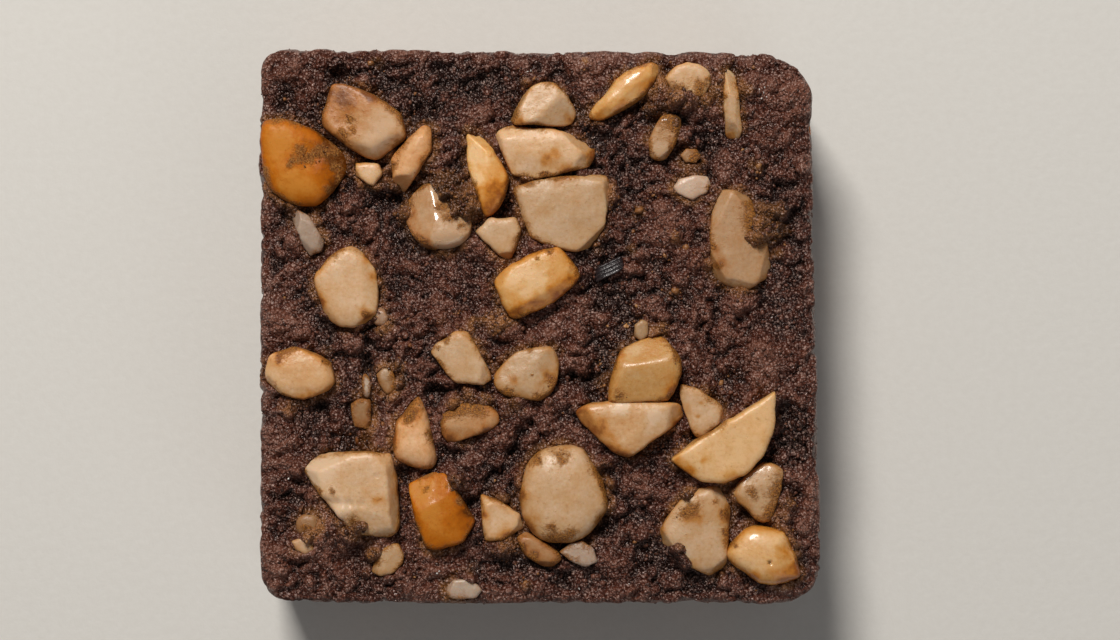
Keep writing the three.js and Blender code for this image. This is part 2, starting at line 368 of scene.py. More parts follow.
@dataclass(frozen=True)
class NutFinish:
    """Roasted nut: pale where it broke, toasted at its rim, with smears of dough."""

    roast: Roast
    fresh: Colour
    pale: Colour
    warm: Colour
    deep: Colour
    gloss: float = 0.4
    shine: float = 0.4
    smear: Colour = tint("#b8772a")
    smear_dark: Colour = tint("#5c330c")
    mottle: float = 1.9
    speck: float = 0.33
    fine: float = 0.16
    dot: float = 0.55
    stain_toast: float = 0.3
    mottle_toast: float = 0.7
    speck_toast: float = 0.5
    lighten: float = 0.4
    speck_fray: float = 1.3
    fine_fray: float = 0.5
    film_step: Pair = (0.1, 0.9)
    film_cover: float = 0.92
    grit_step: Pair = (0.3, 0.7)
    dot_step: Pair = (0.66, 0.76)
    dot_cover: float = 0.25
    fine_depth: float = 0.15
    speck_depth: float = 0.25
    film_depth: float = 0.3
    grit_depth: float = 0.6
    bump_depth: float = 0.09
    gloss_patches: float = 0.25
    film_rough: float = 0.2
    coat_rough: float = 0.12
    glow: float = 0.35
    glow_reach: Triple = (1.0, 0.5, 0.25)

    def material(self) -> bpy.types.Material:
        """Builds the material of nuts of this roast.

        Returns:
            The finished material.
        """
        graph = Graph(self.roast.value)
        place = graph.millimetres()
        mottle = graph.cloud(place, self.mottle, 3.0, 0.6)
        speck = graph.cloud(place, self.speck, 3.0, 0.65)
        fine = graph.cloud(place, self.fine, 2.0, 0.6)
        stain = graph.painted("stain")
        toast = graph.painted("toast") + stain * self.stain_toast + mottle * self.mottle_toast
        toast = toast + speck * self.speck_toast - self.lighten
        colour = graph.ramp(toast, ((0.0, self.fresh), (0.3, self.pale), (0.65, self.warm), (1.0, self.deep)))
        bright = graph.painted("shade")
        lift = graph.node("ShaderNodeCombineColor", None, {"Red": bright, "Green": bright, "Blue": bright})
        colour = graph.mix(1.0, colour, lift, "MULTIPLY")
        frayed = stain + (speck - MID_NOISE) * self.speck_fray + (fine - MID_NOISE) * self.fine_fray
        film = graph.step(frayed, *self.film_step)
        grit = graph.step(fine, *self.grit_step)
        colour = graph.mix(film * self.film_cover, colour, graph.mix(grit, self.smear_dark, self.smear))
        dots = graph.step(graph.cloud(place, self.dot, 2.0, 0.7), *self.dot_step)
        colour = graph.mix(dots * self.dot_cover, colour, self.deep)
        height = fine * self.fine_depth + speck * self.speck_depth
        height = height + film * (self.film_depth + grit * self.grit_depth)
        return graph.finish(
            {
                "Base Color": colour,
                "Roughness": self.gloss + (mottle - MID_NOISE) * self.gloss_patches + film * self.film_rough,
                "Normal": graph.bump(height, self.bump_depth),
                "Coat Weight": graph.painted("wet"),
                "Coat Roughness": self.coat_rough,
                "Specular IOR Level": self.shine,
                "Subsurface Weight": self.glow,
                "Subsurface Radius": self.glow_reach,
                "Subsurface Scale": MM,
            }
        )


@dataclass(frozen=True)
class CrumbFinish:
    """Loose crumbs, each its own shade between two colours, some of them golden with oil."""

    name: str
    dark: Colour
    light: Colour
    oily_dark: Colour = tint("#46260f")
    oily: Colour = tint("#94602e")
    rough: float = 0.34
    fine: float = 0.15
    fine_share: float = 0.6
    bump_depth: float = 0.04
    shine: float = 0.5

    def material(self) -> bpy.types.Material:
        """Builds the crumbs' material.

        Returns:
            The finished material.
        """
        graph = Graph(self.name)
        fine = graph.cloud(graph.millimetres(), self.fine, 2.0, 0.6)
        level = graph.painted("shade") + (fine - MID_NOISE) * self.fine_share
        colour = graph.ramp(level, ((0.0, self.dark), (1.0, self.light)))
        oiled = graph.ramp(level, ((0.0, self.oily_dark), (1.0, self.oily)))
        colour = graph.mix(graph.painted("oil"), colour, oiled)
        return graph.finish(
            {
                "Base Color": colour,
                "Roughness": self.rough,
                "Normal": graph.bump(fine, self.bump_depth),
                "Specular IOR Level": self.shine,
            }
        )


@dataclass(frozen=True)
class NibFinish:
    """Dark glossy cocoa nib."""

    dark: Colour = tint("#140d0d")
    light: Colour = tint("#3a2c2e")
    fine: float = 0.3
    rough: float = 0.2
    rough_patches: float = 0.15
    bump_depth: float = 0.05

    def material(self) -> bpy.types.Material:
        """Builds the nib's material.

        Returns:
            The finished material.
        """
        graph = Graph("cocoa_nib")
        fine = graph.cloud(graph.millimetres(), self.fine, 3.0, 0.6)
        return graph.finish(
            {
                "Base Color": graph.ramp(fine, ((0.3, self.dark), (0.8, self.light))),
                "Roughness": self.rough + fine * self.rough_patches,
                "Normal": graph.bump(fine, self.bump_depth),
            }
        )


@dataclass(frozen=True)
class FloorFinish:
    """Pale matt paper."""

    pale: Colour = tint("#e6e3de")
    shade: Colour = tint("#dedad4")
    fibre: float = 0.8
    rough: float = 0.8
    bump_depth: float = 0.03

    def material(self) -> bpy.types.Material:
        """Builds the floor's material.

        Returns:
            The finished material.
        """
        graph = Graph("pale_floor")
        fibre = graph.cloud(graph.millimetres(), self.fibre, 3.0, 0.6)
        return graph.finish(
            {
                "Base Color": graph.mix(fibre, self.pale, self.shade),
                "Roughness": self.rough,
                "Normal": graph.bump(fibre, self.bump_depth),
            }
        )


NUT_FINISHES = (
    NutFinish(Roast.WHITE, tint("#ddc8b3"), tint("#ccae97"), tint("#b78a68"), tint("#8a5832"), 0.34),
    NutFinish(Roast.CREAM, tint("#e3c19e"), tint("#d6a97a"), tint("#c98a47"), tint("#935421"), 0.38),
    NutFinish(Roast.GOLD, tint("#eabf8c"), tint("#dda663"), tint("#d08630"), tint("#9f5716"), 0.34),
    NutFinish(Roast.TAN, tint("#d8b08a"), tint("#ca9868"), tint("#b8773c"), tint("#7f481b"), 0.4),
    NutFinish(Roast.ORANGE, tint("#d88c34"), tint("#cc7414"), tint("#b45f0a"), tint("#6b3606"), 0.42, 0.15,
              tint("#b47a3c"), tint("#74431a")),
)


def shown(name: str, data: bpy.types.ID) -> bpy.types.Object:
    """Puts a mesh, a light or a camera into the scene.

    Args:
        name: the object's name.
        data: what the object shows.

    Returns:
        The object, at the origin.
    """
    made = bpy.data.objects.new(name, data)
    bpy.context.scene.collection.objects.link(made)
    return made


def joined(name: str, shape: bmesh.types.BMesh, material: bpy.types.Material) -> bpy.types.Object:
    """Turns a shape in millimetres into a smooth object in metres at the origin.

    Args:
        name: the object's name.
        shape: the shape, which is freed.
        material: its only material.

    Returns:
        The object, linked to the scene.
    """
    bmesh.ops.scale(shape, vec=(MM, MM, MM), verts=shape.verts)
    for made in shape.faces:
        made.smooth = True
    mesh = bpy.data.meshes.new(name)
    shape.to_mesh(mesh)
    shape.free()
    mesh.materials.append(material)
    return shown(name, mesh)


def paint(piece: bpy.types.Object, name: str, values: Iterable[float]) -> None:
    """Stores a value at each point of a piece's mesh."""
    layer = piece.data.attributes.new(name, "FLOAT", "POINT")
    layer.data.foreach_set("value", np.fromiter(values, np.float32))


# Noises on a nut, each with its strength, the length of its bumps and an offset
OUTLINE_WAVES: Waves = ((0.13, 1.5, 2.7), (0.05, 0.6, 6.1))
PITTING: Waves = ((0.07, 2.6, 3.1), (0.025, 0.8, 7.7), (0.015, 0.35, 1.3))
TOAST_WAVES: Waves = ((0.5, 1.4, 8.3), (0.2, 4.0, 1.9))
CLING_WAVES: Waves = ((0.45, 1.2, 5.5), (0.2, 0.5, 9.5))

# Depth of a nut in the dough: the least, and as a share of its width
LEAST_SINK = 0.8
SINK_SHARE = 0.42

# Small chips of a nut's rim: how many, how far off their even bearings, their slopes and where they start
CHIPS = 7
CHIP_STRAY = 20.0
CHIP_SLOPES: Pair = (30.0, 62.0)
CHIP_STARTS: Pair = (0.78, 0.96)
FACET_SHARPNESS = 40.0

# Subdivisions of a nut's ball by the length that it is over, and of the coarse nuts that press the dough
FINENESS = ((6.4, 6), (3.0, 5), (0.0, 4))
BED_FINENESS = 4

# Uneven edges of spots: their strength, the radius at which it stops growing, and the length of the bumps
SPOT_BEND, BEND_MOST, BEND_LENGTH = 0.9, 1.2, 1.3
SPOT_FRAY, FRAY_MOST, FRAY_LENGTH = 0.4, 0.9, 0.5

# How much toast and clinging dough each cause adds, and how wide the rims of both are. The toast of steep
# walls and of tan spots is partly painted shade, and pale spots are partly painted highlights.
RIM_TOAST, STEEP_TOAST_AND_SHADE, TAN_AND_SHADE_TOAST, PALE_AND_HIGHLIGHT_TOAST, TOAST_WIDTH = 0.55, 0.15, 0.6, 0.5, 0.9
RIM_CLING, SMEAR_CLING, CLING_WIDTH = 0.8, 0.95, 0.8


@dataclass(frozen=True)
class Nut:
    """A chopped nut, in millimetres and degrees, on the face of the bar that it lies in.

    The outline has the corners given, or else is an oval. A facet has the bearing it falls towards, its
    slope, and how far from the middle it starts. Tan and pale spots and smears have a place and a reach,
    and dents a depth as well, less than 0 for a bulge. Some tan spots are painted shade and some pale spots
    painted highlights. A nut that leans is lowered at a bearing, by an angle.
    """

    node: str
    roast: Roast
    broke: Break
    at: Pair
    size: Triple
    turn: float
    lean: Pair = (0.0, 0.0)
    corners: tuple[Pair, ...] = ()
    facets: tuple[Triple, ...] = ()
    tan_and_shade_spots: tuple[Triple, ...] = ()
    pale_and_highlight_spots: tuple[Triple, ...] = ()
    smears: tuple[Triple, ...] = ()
    dents: tuple[Quad, ...] = ()
    dust: float = 0.0
    roasted: float = 0.0
    bright: float = 1.0
    wet: float = 0.0
    rim: float = 0.6
    face: Face = Face.TOP

    @property
    def sink(self) -> float:
        """Depth below the dough's surface."""
        return max(LEAST_SINK, SINK_SHARE * self.size[1])

    @cached_property
    def sides(self) -> tuple[Triple, ...]:
        """Straight sides of the outline.

        Returns:
            The direction out of each side, and its distance from the middle.
        """
        found = []
        loop = [Vector(corner) - Vector(self.at) for corner in self.corners]
        for first, last in zip(loop, loop[1:] + loop[:1]):
            run = (last - first).normalized()
            found.append((run.y, -run.x, run.y * first.x - run.x * first.y))
        return tuple(found)

    @cached_property
    def planes(self) -> tuple[tuple[Vector, float], ...]:
        """Facets and small chips of the rim as planes.

        Returns:
            The direction out of each plane, and its distance from the middle.
        """
        draw = np.random.default_rng(int(self.node[-2:]))
        cuts = list(self.facets)
        for count in range(CHIPS if self.broke is not Break.HALF else 0):
            bearing = 360.0 / CHIPS * count + draw.uniform(-CHIP_STRAY, CHIP_STRAY)
            slope, share = draw.uniform(*CHIP_SLOPES), draw.uniform(*CHIP_STARTS)
            cuts.append((bearing, slope, share * self.outline(math.radians(bearing))))
        found = []
        for bearing, slope, start in cuts:
            tip, around = math.radians(slope), math.radians(bearing)
            level = math.sin(tip)
            out = Vector((level * math.cos(around), level * math.sin(around), math.cos(tip)))
            found.append((out, level * start + math.cos(tip) * self.size[2]))
        return tuple(found)

    def outline(self, bearing: float) -> float:
        """Measures the uneven outline.

        Args:
            bearing: a direction in the nut's face, in radians.

        Returns:
            The distance from the middle to the outline.
        """
        square, _, sharp = self.broke.value
        ahead, aside = math.cos(bearing), math.sin(bearing)
        total = 0.0
        if not self.corners:
            away = bearing - math.radians(self.turn)
            along = abs(2.0 * math.cos(away) / self.size[0])
            across = abs(2.0 * math.sin(away) / self.size[1])
            total = (along**square + across**square) ** (sharp / square)
        for x, y, distance in self.sides:
            facing = ahead * x + aside * y
            if facing > 0.0:
                total += (facing / distance) ** sharp
        reach = total ** (-1.0 / sharp)
        edge = Vector((ahead * reach + self.at[0], aside * reach + self.at[1], 0.0))
        return waves(edge, OUTLINE_WAVES, reach)

    def _reach(self, way: Vector) -> float:
        """Measures the whole surface before it is roughened.

        Args:
            way: a unit direction in the nut's own frame.

        Returns:
            The distance from the middle to the surface.
        """
        _, crown, _ = self.broke.value
        flat = math.hypot(way.x, way.y) / self.outline(math.atan2(way.y, way.x))
        tall = abs(way.z) / (self.size[2] if way.z > 0.0 else self.sink)
        total = (flat**crown + tall**crown) ** (FACET_SHARPNESS / crown)
        for out, distance in self.planes:
            facing = way.dot(out)
            if facing > 0.0:
                total += (facing / distance) ** FACET_SHARPNESS
        return total ** (-1.0 / FACET_SHARPNESS)

    def placing(self, slab: "DoughSlab") -> Matrix:
        """Places the nut.

        Args:
            slab: the dough that the nut lies in.

        Returns:
            The matrix from the nut's own frame to the bar's.
        """
        bearing, tip = (math.radians(value) for value in self.lean)
        axis = Vector((-math.sin(bearing), math.cos(bearing), 0.0))
        lean = Matrix.Rotation(tip, 4, axis)
        return slab.face_matrix(self.face) @ Matrix.Translation((*self.at, 0.0)) @ lean

    def shape(self, slab: "DoughSlab", fineness: int) -> bmesh.types.BMesh:
        """Shapes a ball into the nut, in the bar's frame.

        Args:
            slab: the dough that the nut lies in.
            fineness: subdivisions of the ball.

        Returns:
            The shape, in millimetres.
        """
        ball = bmesh.new()
        bmesh.ops.create_icosphere(ball, subdivisions=fineness, radius=1.0)
        stretch = Vector((self.size[0], self.size[1], self.size[2] + self.sink))
        turn = Matrix.Rotation(math.radians(self.turn), 3, "Z")
        for vert in ball.verts:
            way = (turn @ Vector(a * b for a, b in zip(vert.co, stretch))).normalized()
            vert.co = way * self._reach(way)
        bmesh.ops.transform(ball, matrix=self.placing(slab), verts=ball.verts)
        return ball

    def _roughen(self, shape: bmesh.types.BMesh) -> None:
        """Adds the nut's dents, shallow unevenness and fine pitting along the normals.

        Args:
            shape: the nut, in the bar's frame.
        """
        shape.normal_update()
        moves = []
        for vert in shape.verts:
            move = waves(vert.co, PITTING)
            for x, y, radius, depth in self.dents:
                away = math.hypot(vert.co.x - x, vert.co.y - y) / radius
                move -= depth * math.exp(-(away**2)) * max(0.0, vert.normal.z)
            moves.append(vert.normal * move)
        for vert, move in zip(shape.verts, moves):
            vert.co += move

    @staticmethod
    def _spots(spots: tuple[Triple, ...], point: Vector) -> float:
        """Adds up soft spots with uneven edges.

        Args:
            spots: x, y and reach of each spot.
            point: a place on the nut.

        Returns:
            Their sum at the point.
        """
        total = 0.0
        if not spots:
            return total
        bend_x, bend_y = ripple(point, BEND_LENGTH, 2.2), ripple(point, BEND_LENGTH, 5.2)
        fray_x, fray_y = ripple(point, FRAY_LENGTH, 7.2), ripple(point, FRAY_LENGTH, 3.2)
        for x, y, radius in spots:
            bend, fray = SPOT_BEND * min(radius, BEND_MOST), SPOT_FRAY * min(radius, FRAY_MOST)
            across = point.x - x + bend * bend_x + fray * fray_x
            along = point.y - y + bend * bend_y + fray * fray_y
            total += math.exp(-(across**2 + along**2) / radius**2)
        return total

    def _toast(self, point: Vector, inside: float, steep: float) -> float:
        """Finds how toasted the nut is: more near its outline, on steep sides and in tan spots, less in pale
        spots. On steep sides and in some tan spots this is painted shade, and some pale spots are painted
        highlights.

        Args:
            point: a place on the nut.
            inside: how far it is inside the outline.
            steep: 0 where the nut is level, 1 on its walls.

        Returns:
            The toast, about 0 to 1.
        """
        edge = waves(point, TOAST_WAVES, inside)
        patchy = 0.25 + 0.75 * ease(-0.25, 0.35, ripple(point, 4.5, 7.1))
        rim = RIM_TOAST * self.rim * patchy * (1.0 - ease(0.0, TOAST_WIDTH, edge))
        spots = TAN_AND_SHADE_TOAST * self._spots(self.tan_and_shade_spots, point) - PALE_AND_HIGHLIGHT_TOAST * self._spots(self.pale_and_highlight_spots, point)
        # Steep walls and tan spots add painted shade as well as toast; pale spots take toast away, some as
        # painted highlights.
        return self.roasted + rim + STEEP_TOAST_AND_SHADE * steep + spots

    def _stain(self, point: Vector, inside: float) -> float:
        """Finds how much dough clings to the nut: most in smears and along parts of its rim.

        Args:
            point: a place on the nut.
            inside: how far it is inside the outline.

        Returns:
            The cover of dough, about 0 to 1.
        """
        patchy = ease(-0.05, 0.45, ripple(point, 3.2, 6.6))
        edge = waves(point, CLING_WAVES, inside)
        cling = RIM_CLING * patchy * (1.0 - ease(-0.1, CLING_WIDTH, edge))
        return self.dust + cling + SMEAR_CLING * self._spots(self.smears, point)

    def build(self, slab: "DoughSlab", material: bpy.types.Material) -> bpy.types.Object:
        """Models the nut and paints its roast and smears.

        Args:
            slab: the dough that the nut lies in.
            material: the finish of its roast.

        Returns:
            The nut, riding on the bar in place of its node.
        """
        fineness = next(times for least, times in FINENESS if self.size[0] > least)
        shape = self.shape(slab, fineness)
        self._roughen(shape)
        shape.normal_update()
        own = self.placing(slab).inverted()
        out = slab.face_matrix(self.face).to_3x3() @ UP
        toast, stain = [], []
        for vert in shape.verts:
            x, y, _ = own @ vert.co
            inside = self.outline(math.atan2(y, x)) - math.hypot(x, y)
            steep = 1.0 - ease(0.2, 0.85, vert.normal.dot(out))
            toast.append(self._toast(vert.co, inside, steep))
            stain.append(self._stain(vert.co, inside))
        piece = joined(f"roasted_{self.node}", shape, material)
        paint(piece, "toast", toast)
        paint(piece, "stain", stain)
        paint(piece, "shade", [self.bright] * len(toast))
        paint(piece, "wet", [self.wet] * len(toast))
        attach(piece, BODY)
        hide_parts(self.node)
        return piece


TOP_NUTS = (
    Nut("nut_01", Roast.ORANGE, Break.WHOLE, (-22.2, 15.5), (10.0, 9.1, 1.6), -60, roasted=0.15,
        bright=0.9, lean=(0, 4),
        corners=((-17.9, 15.4), (-19.2, 17.2), (-22.0, 18.9), (-24.3, 19.8), (-26.4, 19.4),
                 (-26.45, 14.6), (-25.6, 12.6), (-23.0, 11.1), (-21.0, 11.2), (-19.2, 13.0)),
        facets=((-5, 26, 1.6), (262, 30, 2.9), (170, 6, 1.0)), dents=((-21.4, 16.2, 1.1, 0.35),),
        tan_and_shade_spots=((-19.0, 15.4, 1.8), (-20.4, 17.0, 0.9)), pale_and_highlight_spots=((-24.4, 17.4, 1.8), (-23.4, 13.2, 1.5)),
        smears=((-22.3, 16.0, 0.9), (-21.2, 16.2, 0.9), (-20.5, 16.3, 0.7), (-23.5, 15.4, 0.45),
                (-24.6, 19.6, 0.6), (-23.0, 19.2, 0.5), (-26.0, 14.4, 0.5), (-19.4, 16.6, 0.6),
                (-19.3, 14.8, 0.7), (-20.1, 13.0, 0.5))),
    Nut("nut_02", Roast.TAN, Break.CHUNK, (-16.7, 19.3), (9.0, 7.0, 2.0), -42, roasted=0.22,
        corners=((-12.7, 18.2), (-13.1, 20.0), (-15.8, 21.9), (-19.0, 22.95), (-19.8, 22.7),
                 (-20.75, 19.4), (-20.5, 18.6), (-17.6, 16.4), (-16.3, 15.7), (-15.3, 15.7),
                 (-12.8, 17.5)), facets=((250, 44, 2.1), (305, 42, 2.5), (140, 12, 0.6), (20, 14, 1.6)),
        dents=((-18.0, 19.1, 1.0, 0.35),), pale_and_highlight_spots=((-14.8, 18.6, 1.7), (-15.9, 16.9, 0.9)),
        tan_and_shade_spots=((-18.9, 21.5, 1.7), (-16.0, 22.0, 0.8)),
        smears=((-17.8, 19.4, 0.5), (-17.6, 18.4, 0.35), (-18.5, 18.1, 0.4))),
    Nut("nut_03", Roast.GOLD, Break.HALF, (18.0, -10.7), (12.6, 6.8, 2.3), 35, roasted=-0.15,
        corners=((22.2, -7.8), (21.95, -5.55), (21.4, -5.45), (14.7, -10.6), (12.9, -11.7),
                 (12.15, -12.4), (12.7, -13.2), (13.8, -13.95), (15.3, -14.75), (17.2, -14.75),
                 (19.2, -14.05), (20.7, -12.6), (21.5, -11.1), (22.0, -9.5)),
        facets=((-55, 16, 2.6), (-15, 18, 3.2), (235, 20, 3.8)), rim=0.35,
        tan_and_shade_spots=((12.8, -12.8, 0.9), (15.2, -12.6, 0.3), (18.6, -14.3, 0.8), (13.9, -13.7, 0.6))),
    Nut("nut_04", Roast.CREAM, Break.WHOLE, (2.1, -15.9), (9.5, 8.8, 2.1), -30, bright=0.92,
        corners=((6.85, -16.5), (5.9, -14.4), (5.4, -12.8), (4.3, -11.55), (2.8, -10.95), (1.0, -11.05),
                 (-0.7, -11.8), (-1.8, -13.5), (-2.2, -15.9), (-1.8, -18.4), (-0.8, -19.85),
                 (0.7, -20.65), (2.5, -20.7), (4.4, -20.1), (5.7, -18.7), (6.4, -17.5)),
        facets=((-10, 14, 1.6), (90, 12, 2.0), (200, 8, 1.0)),
        tan_and_shade_spots=((-1.9, -16.0, 0.8), (-1.3, -18.6, 0.9), (5.8, -18.2, 0.7)),
        smears=((-0.4, -12.4, 0.75), (1.9, -12.2, 0.7), (4.8, -12.2, 0.6), (5.4, -13.4, 0.7),
                (5.9, -14.8, 0.5), (1.2, -19.7, 0.9), (2.6, -19.9, 0.7), (1.1, -18.7, 0.3),
                (5.7, -18.3, 0.5))),
    Nut("nut_05", Roast.CREAM, Break.CHUNK, (0.1, 20.7), (7.0, 5.2, 2.2), 0, bright=0.92, lean=(-20, 10),
        corners=((3.35, 20.0), (2.4, 21.8), (1.1, 22.95), (-0.4, 22.95), (-1.3, 22.2), (-2.85, 19.4),
                 (-2.6, 18.95), (0.0, 18.8), (2.2, 18.85), (3.1, 19.3)),
        facets=((135, 22, -0.1), (-42, 20, 0.3)), rim=0.4,
        tan_and_shade_spots=((2.8, 19.3, 0.5), (-2.0, 19.2, 0.5), (1.8, 22.6, 0.5))),
    Nut("nut_06", Roast.CREAM, Break.CHUNK, (0.3, 16.6), (10.2, 4.8, 1.7), -8, bright=1.06,
        corners=((5.25, 16.8), (4.1, 17.6), (1.4, 18.6), (-3.0, 18.95), (-4.0, 18.6), (-4.65, 17.7),
                 (-3.8, 16.1), (-2.9, 14.1), (0.2, 13.75), (1.4, 14.1), (4.4, 14.7), (5.1, 15.8)),
        facets=((92, 18, 0.9), (262, 16, 0.6), (200, 14, 2.6)), rim=0.4,
        tan_and_shade_spots=((0.8, 15.9, 0.8), (2.4, 14.6, 0.6), (4.8, 16.2, 0.5)),
        smears=((0.3, 14.3, 0.4), (4.6, 15.4, 0.4))),
    Nut("nut_07", Roast.CREAM, Break.SLAB, (2.0, 10.8), (10.4, 8.2, 1.2), 3, bright=0.84,
        corners=((6.65, 13.4), (6.2, 14.25), (1.8, 14.25), (-2.0, 13.45), (-2.85, 13.1), (-2.4, 11.7),
                 (-1.1, 8.3), (0.2, 7.6), (3.0, 6.95), (4.7, 7.4), (6.1, 9.3)),
        facets=((-40, 7, 0.6), (95, 10, 1.9)), rim=0.3, tan_and_shade_spots=((2.0, 14.0, 0.6),)),
    Nut("nut_08", Roast.GOLD, Break.SLIVER, (-5.0, 14.6), (9.6, 4.0, 1.6), 101, roasted=0.1, bright=1.12,
        corners=((-2.9, 13.7), (-3.6, 15.4), (-4.7, 17.3), (-5.7, 18.8), (-6.3, 19.5), (-6.9, 19.2),
                 (-7.15, 16.8), (-7.0, 14.9), (-6.3, 12.6), (-5.75, 11.0), (-5.3, 10.2), (-4.6, 10.35),
                 (-3.85, 11.0), (-3.2, 12.6)), facets=((172, 26, 0.2), (18, 24, 0.4), (280, 20, 1.8)),
        rim=0.4, tan_and_shade_spots=((-4.7, 11.2, 1.5), (-3.6, 12.8, 1.0)), pale_and_highlight_spots=((-6.3, 16.0, 0.9), (-6.2, 14.0, 0.7))),
    Nut("nut_09", Roast.TAN, Break.WHOLE, (-9.9, 10.4), (7.4, 6.4, 1.5), -28, bright=0.9, wet=1.0,
        lean=(105, 14),
        corners=((-6.3, 10.0), (-6.7, 12.4), (-8.6, 14.2), (-10.8, 14.2), (-12.3, 12.4), (-13.1, 10.9),
                 (-12.9, 9.7), (-12.1, 8.2), (-11.2, 7.3), (-9.5, 7.0), (-8.0, 7.3), (-6.5, 8.3)),
        facets=((185, 24, 0.1), (20, 22, 0.3), (-60, 30, 2.2)),
        tan_and_shade_spots=((-12.4, 10.6, 0.9), (-11.2, 8.0, 0.8)), pale_and_highlight_spots=((-8.0, 8.3, 1.3), (-9.2, 7.7, 0.8)),
        smears=((-11.6, 13.4, 0.9), (-12.5, 12.0, 0.6), (-10.2, 13.8, 0.7), (-12.7, 10.5, 0.4),
                (-11.8, 7.8, 0.5), (-10.2, 7.2, 0.5), (-9.4, 11.4, 0.6), (-8.6, 10.2, 0.6),
                (-7.4, 9.3, 0.5))),
    Nut("nut_10", Roast.GOLD, Break.CHUNK, (9.9, -4.3), (8.4, 7.4, 2.4), 20, roasted=0.12, bright=0.82,
        corners=((13.4, -3.9), (13.1, -2.7), (12.3, -1.7), (11.7, -0.95), (11.0, -0.8), (7.6, -2.0),
                 (6.9, -3.5), (6.5, -4.9), (6.25, -7.1), (7.2, -7.35), (12.3, -7.05), (12.8, -5.8),
                 (13.3, -5.0)), facets=((100, 36, 0.8), (268, 13, -0.1), (150, 26, 1.9)), rim=0.4,
        wet=0.15, tan_and_shade_spots=((7.6, -2.6, 0.8), (12.6, -6.2, 0.7)), pale_and_highlight_spots=((8.2, -2.4, 0.9),),
        smears=((12.9, -3.2, 0.5), (7.2, -6.4, 0.6), (11.0, -6.9, 0.4), (12.2, -6.6, 0.4))),
    Nut("nut_11", Roast.CREAM, Break.CHUNK, (8.6, -9.4), (11.8, 6.6, 1.8), -3, roasted=0.13,
        corners=((13.7, -8.7), (13.1, -7.2), (10.4, -6.95), (8.9, -6.85), (4.8, -7.2), (3.6, -7.55),
                 (3.1, -8.1), (3.6, -9.0), (5.7, -11.05), (6.9, -12.05), (8.0, -12.55), (9.2, -12.4),
                 (10.8, -11.1), (12.7, -9.4)), facets=((-40, 14, 0.9), (95, 16, 1.6)), rim=0.4, wet=0.1,
        tan_and_shade_spots=((3.8, -8.2, 1.0), (5.2, -9.8, 1.1), (6.8, -11.4, 0.8), (8.0, -12.3, 0.6), (12.8, -9.2, 0.5)),
        # The pale spot at the left paints a highlight.
        pale_and_highlight_spots=((7.8, -7.8, 0.8), (10.6, -8.6, 1.0))),
    Nut("nut_12", Roast.CREAM, Break.SLAB, (15.2, -7.8), (5.8, 4.4, 1.2), -60, bright=0.92,
        corners=((17.35, -8.9), (17.1, -7.5), (16.7, -6.8), (15.7, -6.15), (14.6, -5.85), (13.8, -5.35),
                 (13.2, -5.3), (13.05, -6.5), (13.6, -8.6), (14.2, -9.8), (14.8, -10.55), (15.4, -10.45)),
        facets=((188, 32, 1.0), (40, 10, 0.8)), rim=0.35, tan_and_shade_spots=((15.0, -7.2, 0.2), (14.8, -8.5, 0.2))),
    Nut("nut_13", Roast.GOLD, Break.WHOLE, (21.0, -21.5), (8.6, 6.1, 2.2), -20, roasted=-0.08, wet=0.35,
        corners=((24.0, -21.2), (23.7, -20.1), (23.2, -19.3), (21.7, -18.75), (20.0, -18.65),
                 (18.7, -19.15), (17.9, -20.2), (17.25, -21.1), (17.6, -22.1), (19.5, -23.65),
                 (20.6, -24.35), (21.5, -24.55), (24.2, -24.0), (24.95, -23.6)),
        facets=((-15, 22, 1.3), (120, 14, 1.0), (240, 20, 1.5)), dents=((21.5, -22.2, 0.2, 0.3),),
        tan_and_shade_spots=((24.2, -22.8, 1.1), (22.6, -23.7, 1.0), (20.0, -23.6, 0.7), (22.8, -21.2, 0.6)),
        smears=((21.5, -22.2, 0.16), (18.3, -20.6, 0.25))),
    Nut("nut_14", Roast.CREAM, Break.CHUNK, (20.5, -15.7), (6.6, 5.4, 1.5), 60, bright=0.82, wet=0.3,
        corners=((23.1, -14.8), (22.9, -13.6), (21.9, -12.85), (20.6, -12.95), (19.3, -14.0),
                 (18.3, -15.0), (17.9, -16.0), (18.9, -17.0), (19.8, -18.15), (20.8, -18.65),
                 (22.0, -18.4), (22.3, -16.8)), facets=((-10, 22, 0.9), (110, 16, 0.8), (235, 18, 1.2)),
        smears=((19.8, -15.7, 0.6), (22.4, -15.0, 0.9), (22.2, -16.4, 1.0), (21.9, -17.7, 0.8))),
    Nut("nut_15", Roast.CREAM, Break.CHUNK, (15.0, -19.4), (9.0, 6.9, 1.2), 68, bright=0.87,
        corners=((17.9, -16.2), (17.5, -15.3), (16.6, -14.95), (15.2, -15.1), (12.8, -16.6),
                 (11.9, -17.8), (10.95, -19.8), (11.0, -20.6), (11.6, -21.0), (14.6, -23.3),
                 (16.0, -23.65), (17.4, -22.8), (17.9, -18.4)),
        facets=((0, 16, 1.5), (150, 14, 1.8), (270, 12, 2.4)),
        tan_and_shade_spots=((14.6, -18.0, 1.0), (17.2, -17.8, 0.8)),
        smears=((14.3, -16.9, 0.8), (13.5, -17.6, 0.6), (17.3, -17.6, 0.5), (16.4, -16.4, 0.25),
                (17.1, -19.4, 0.4))),
    Nut("nut_16", Roast.CREAM, Break.SLAB, (-17.0, -15.6), (13, 9.8, 2.2), -30,
        corners=((-13.3, -16.6), (-13.5, -13.4), (-14.0, -11.9), (-18.0, -11.75), (-20.4, -11.9),
                 (-21.8, -12.3), (-22.6, -12.9), (-22.75, -13.6), (-22.3, -14.4), (-20.5, -16.3),
                 (-18.9, -18.4), (-17.5, -19.6), (-14.2, -20.0), (-13.3, -19.2), (-13.1, -18.0)),
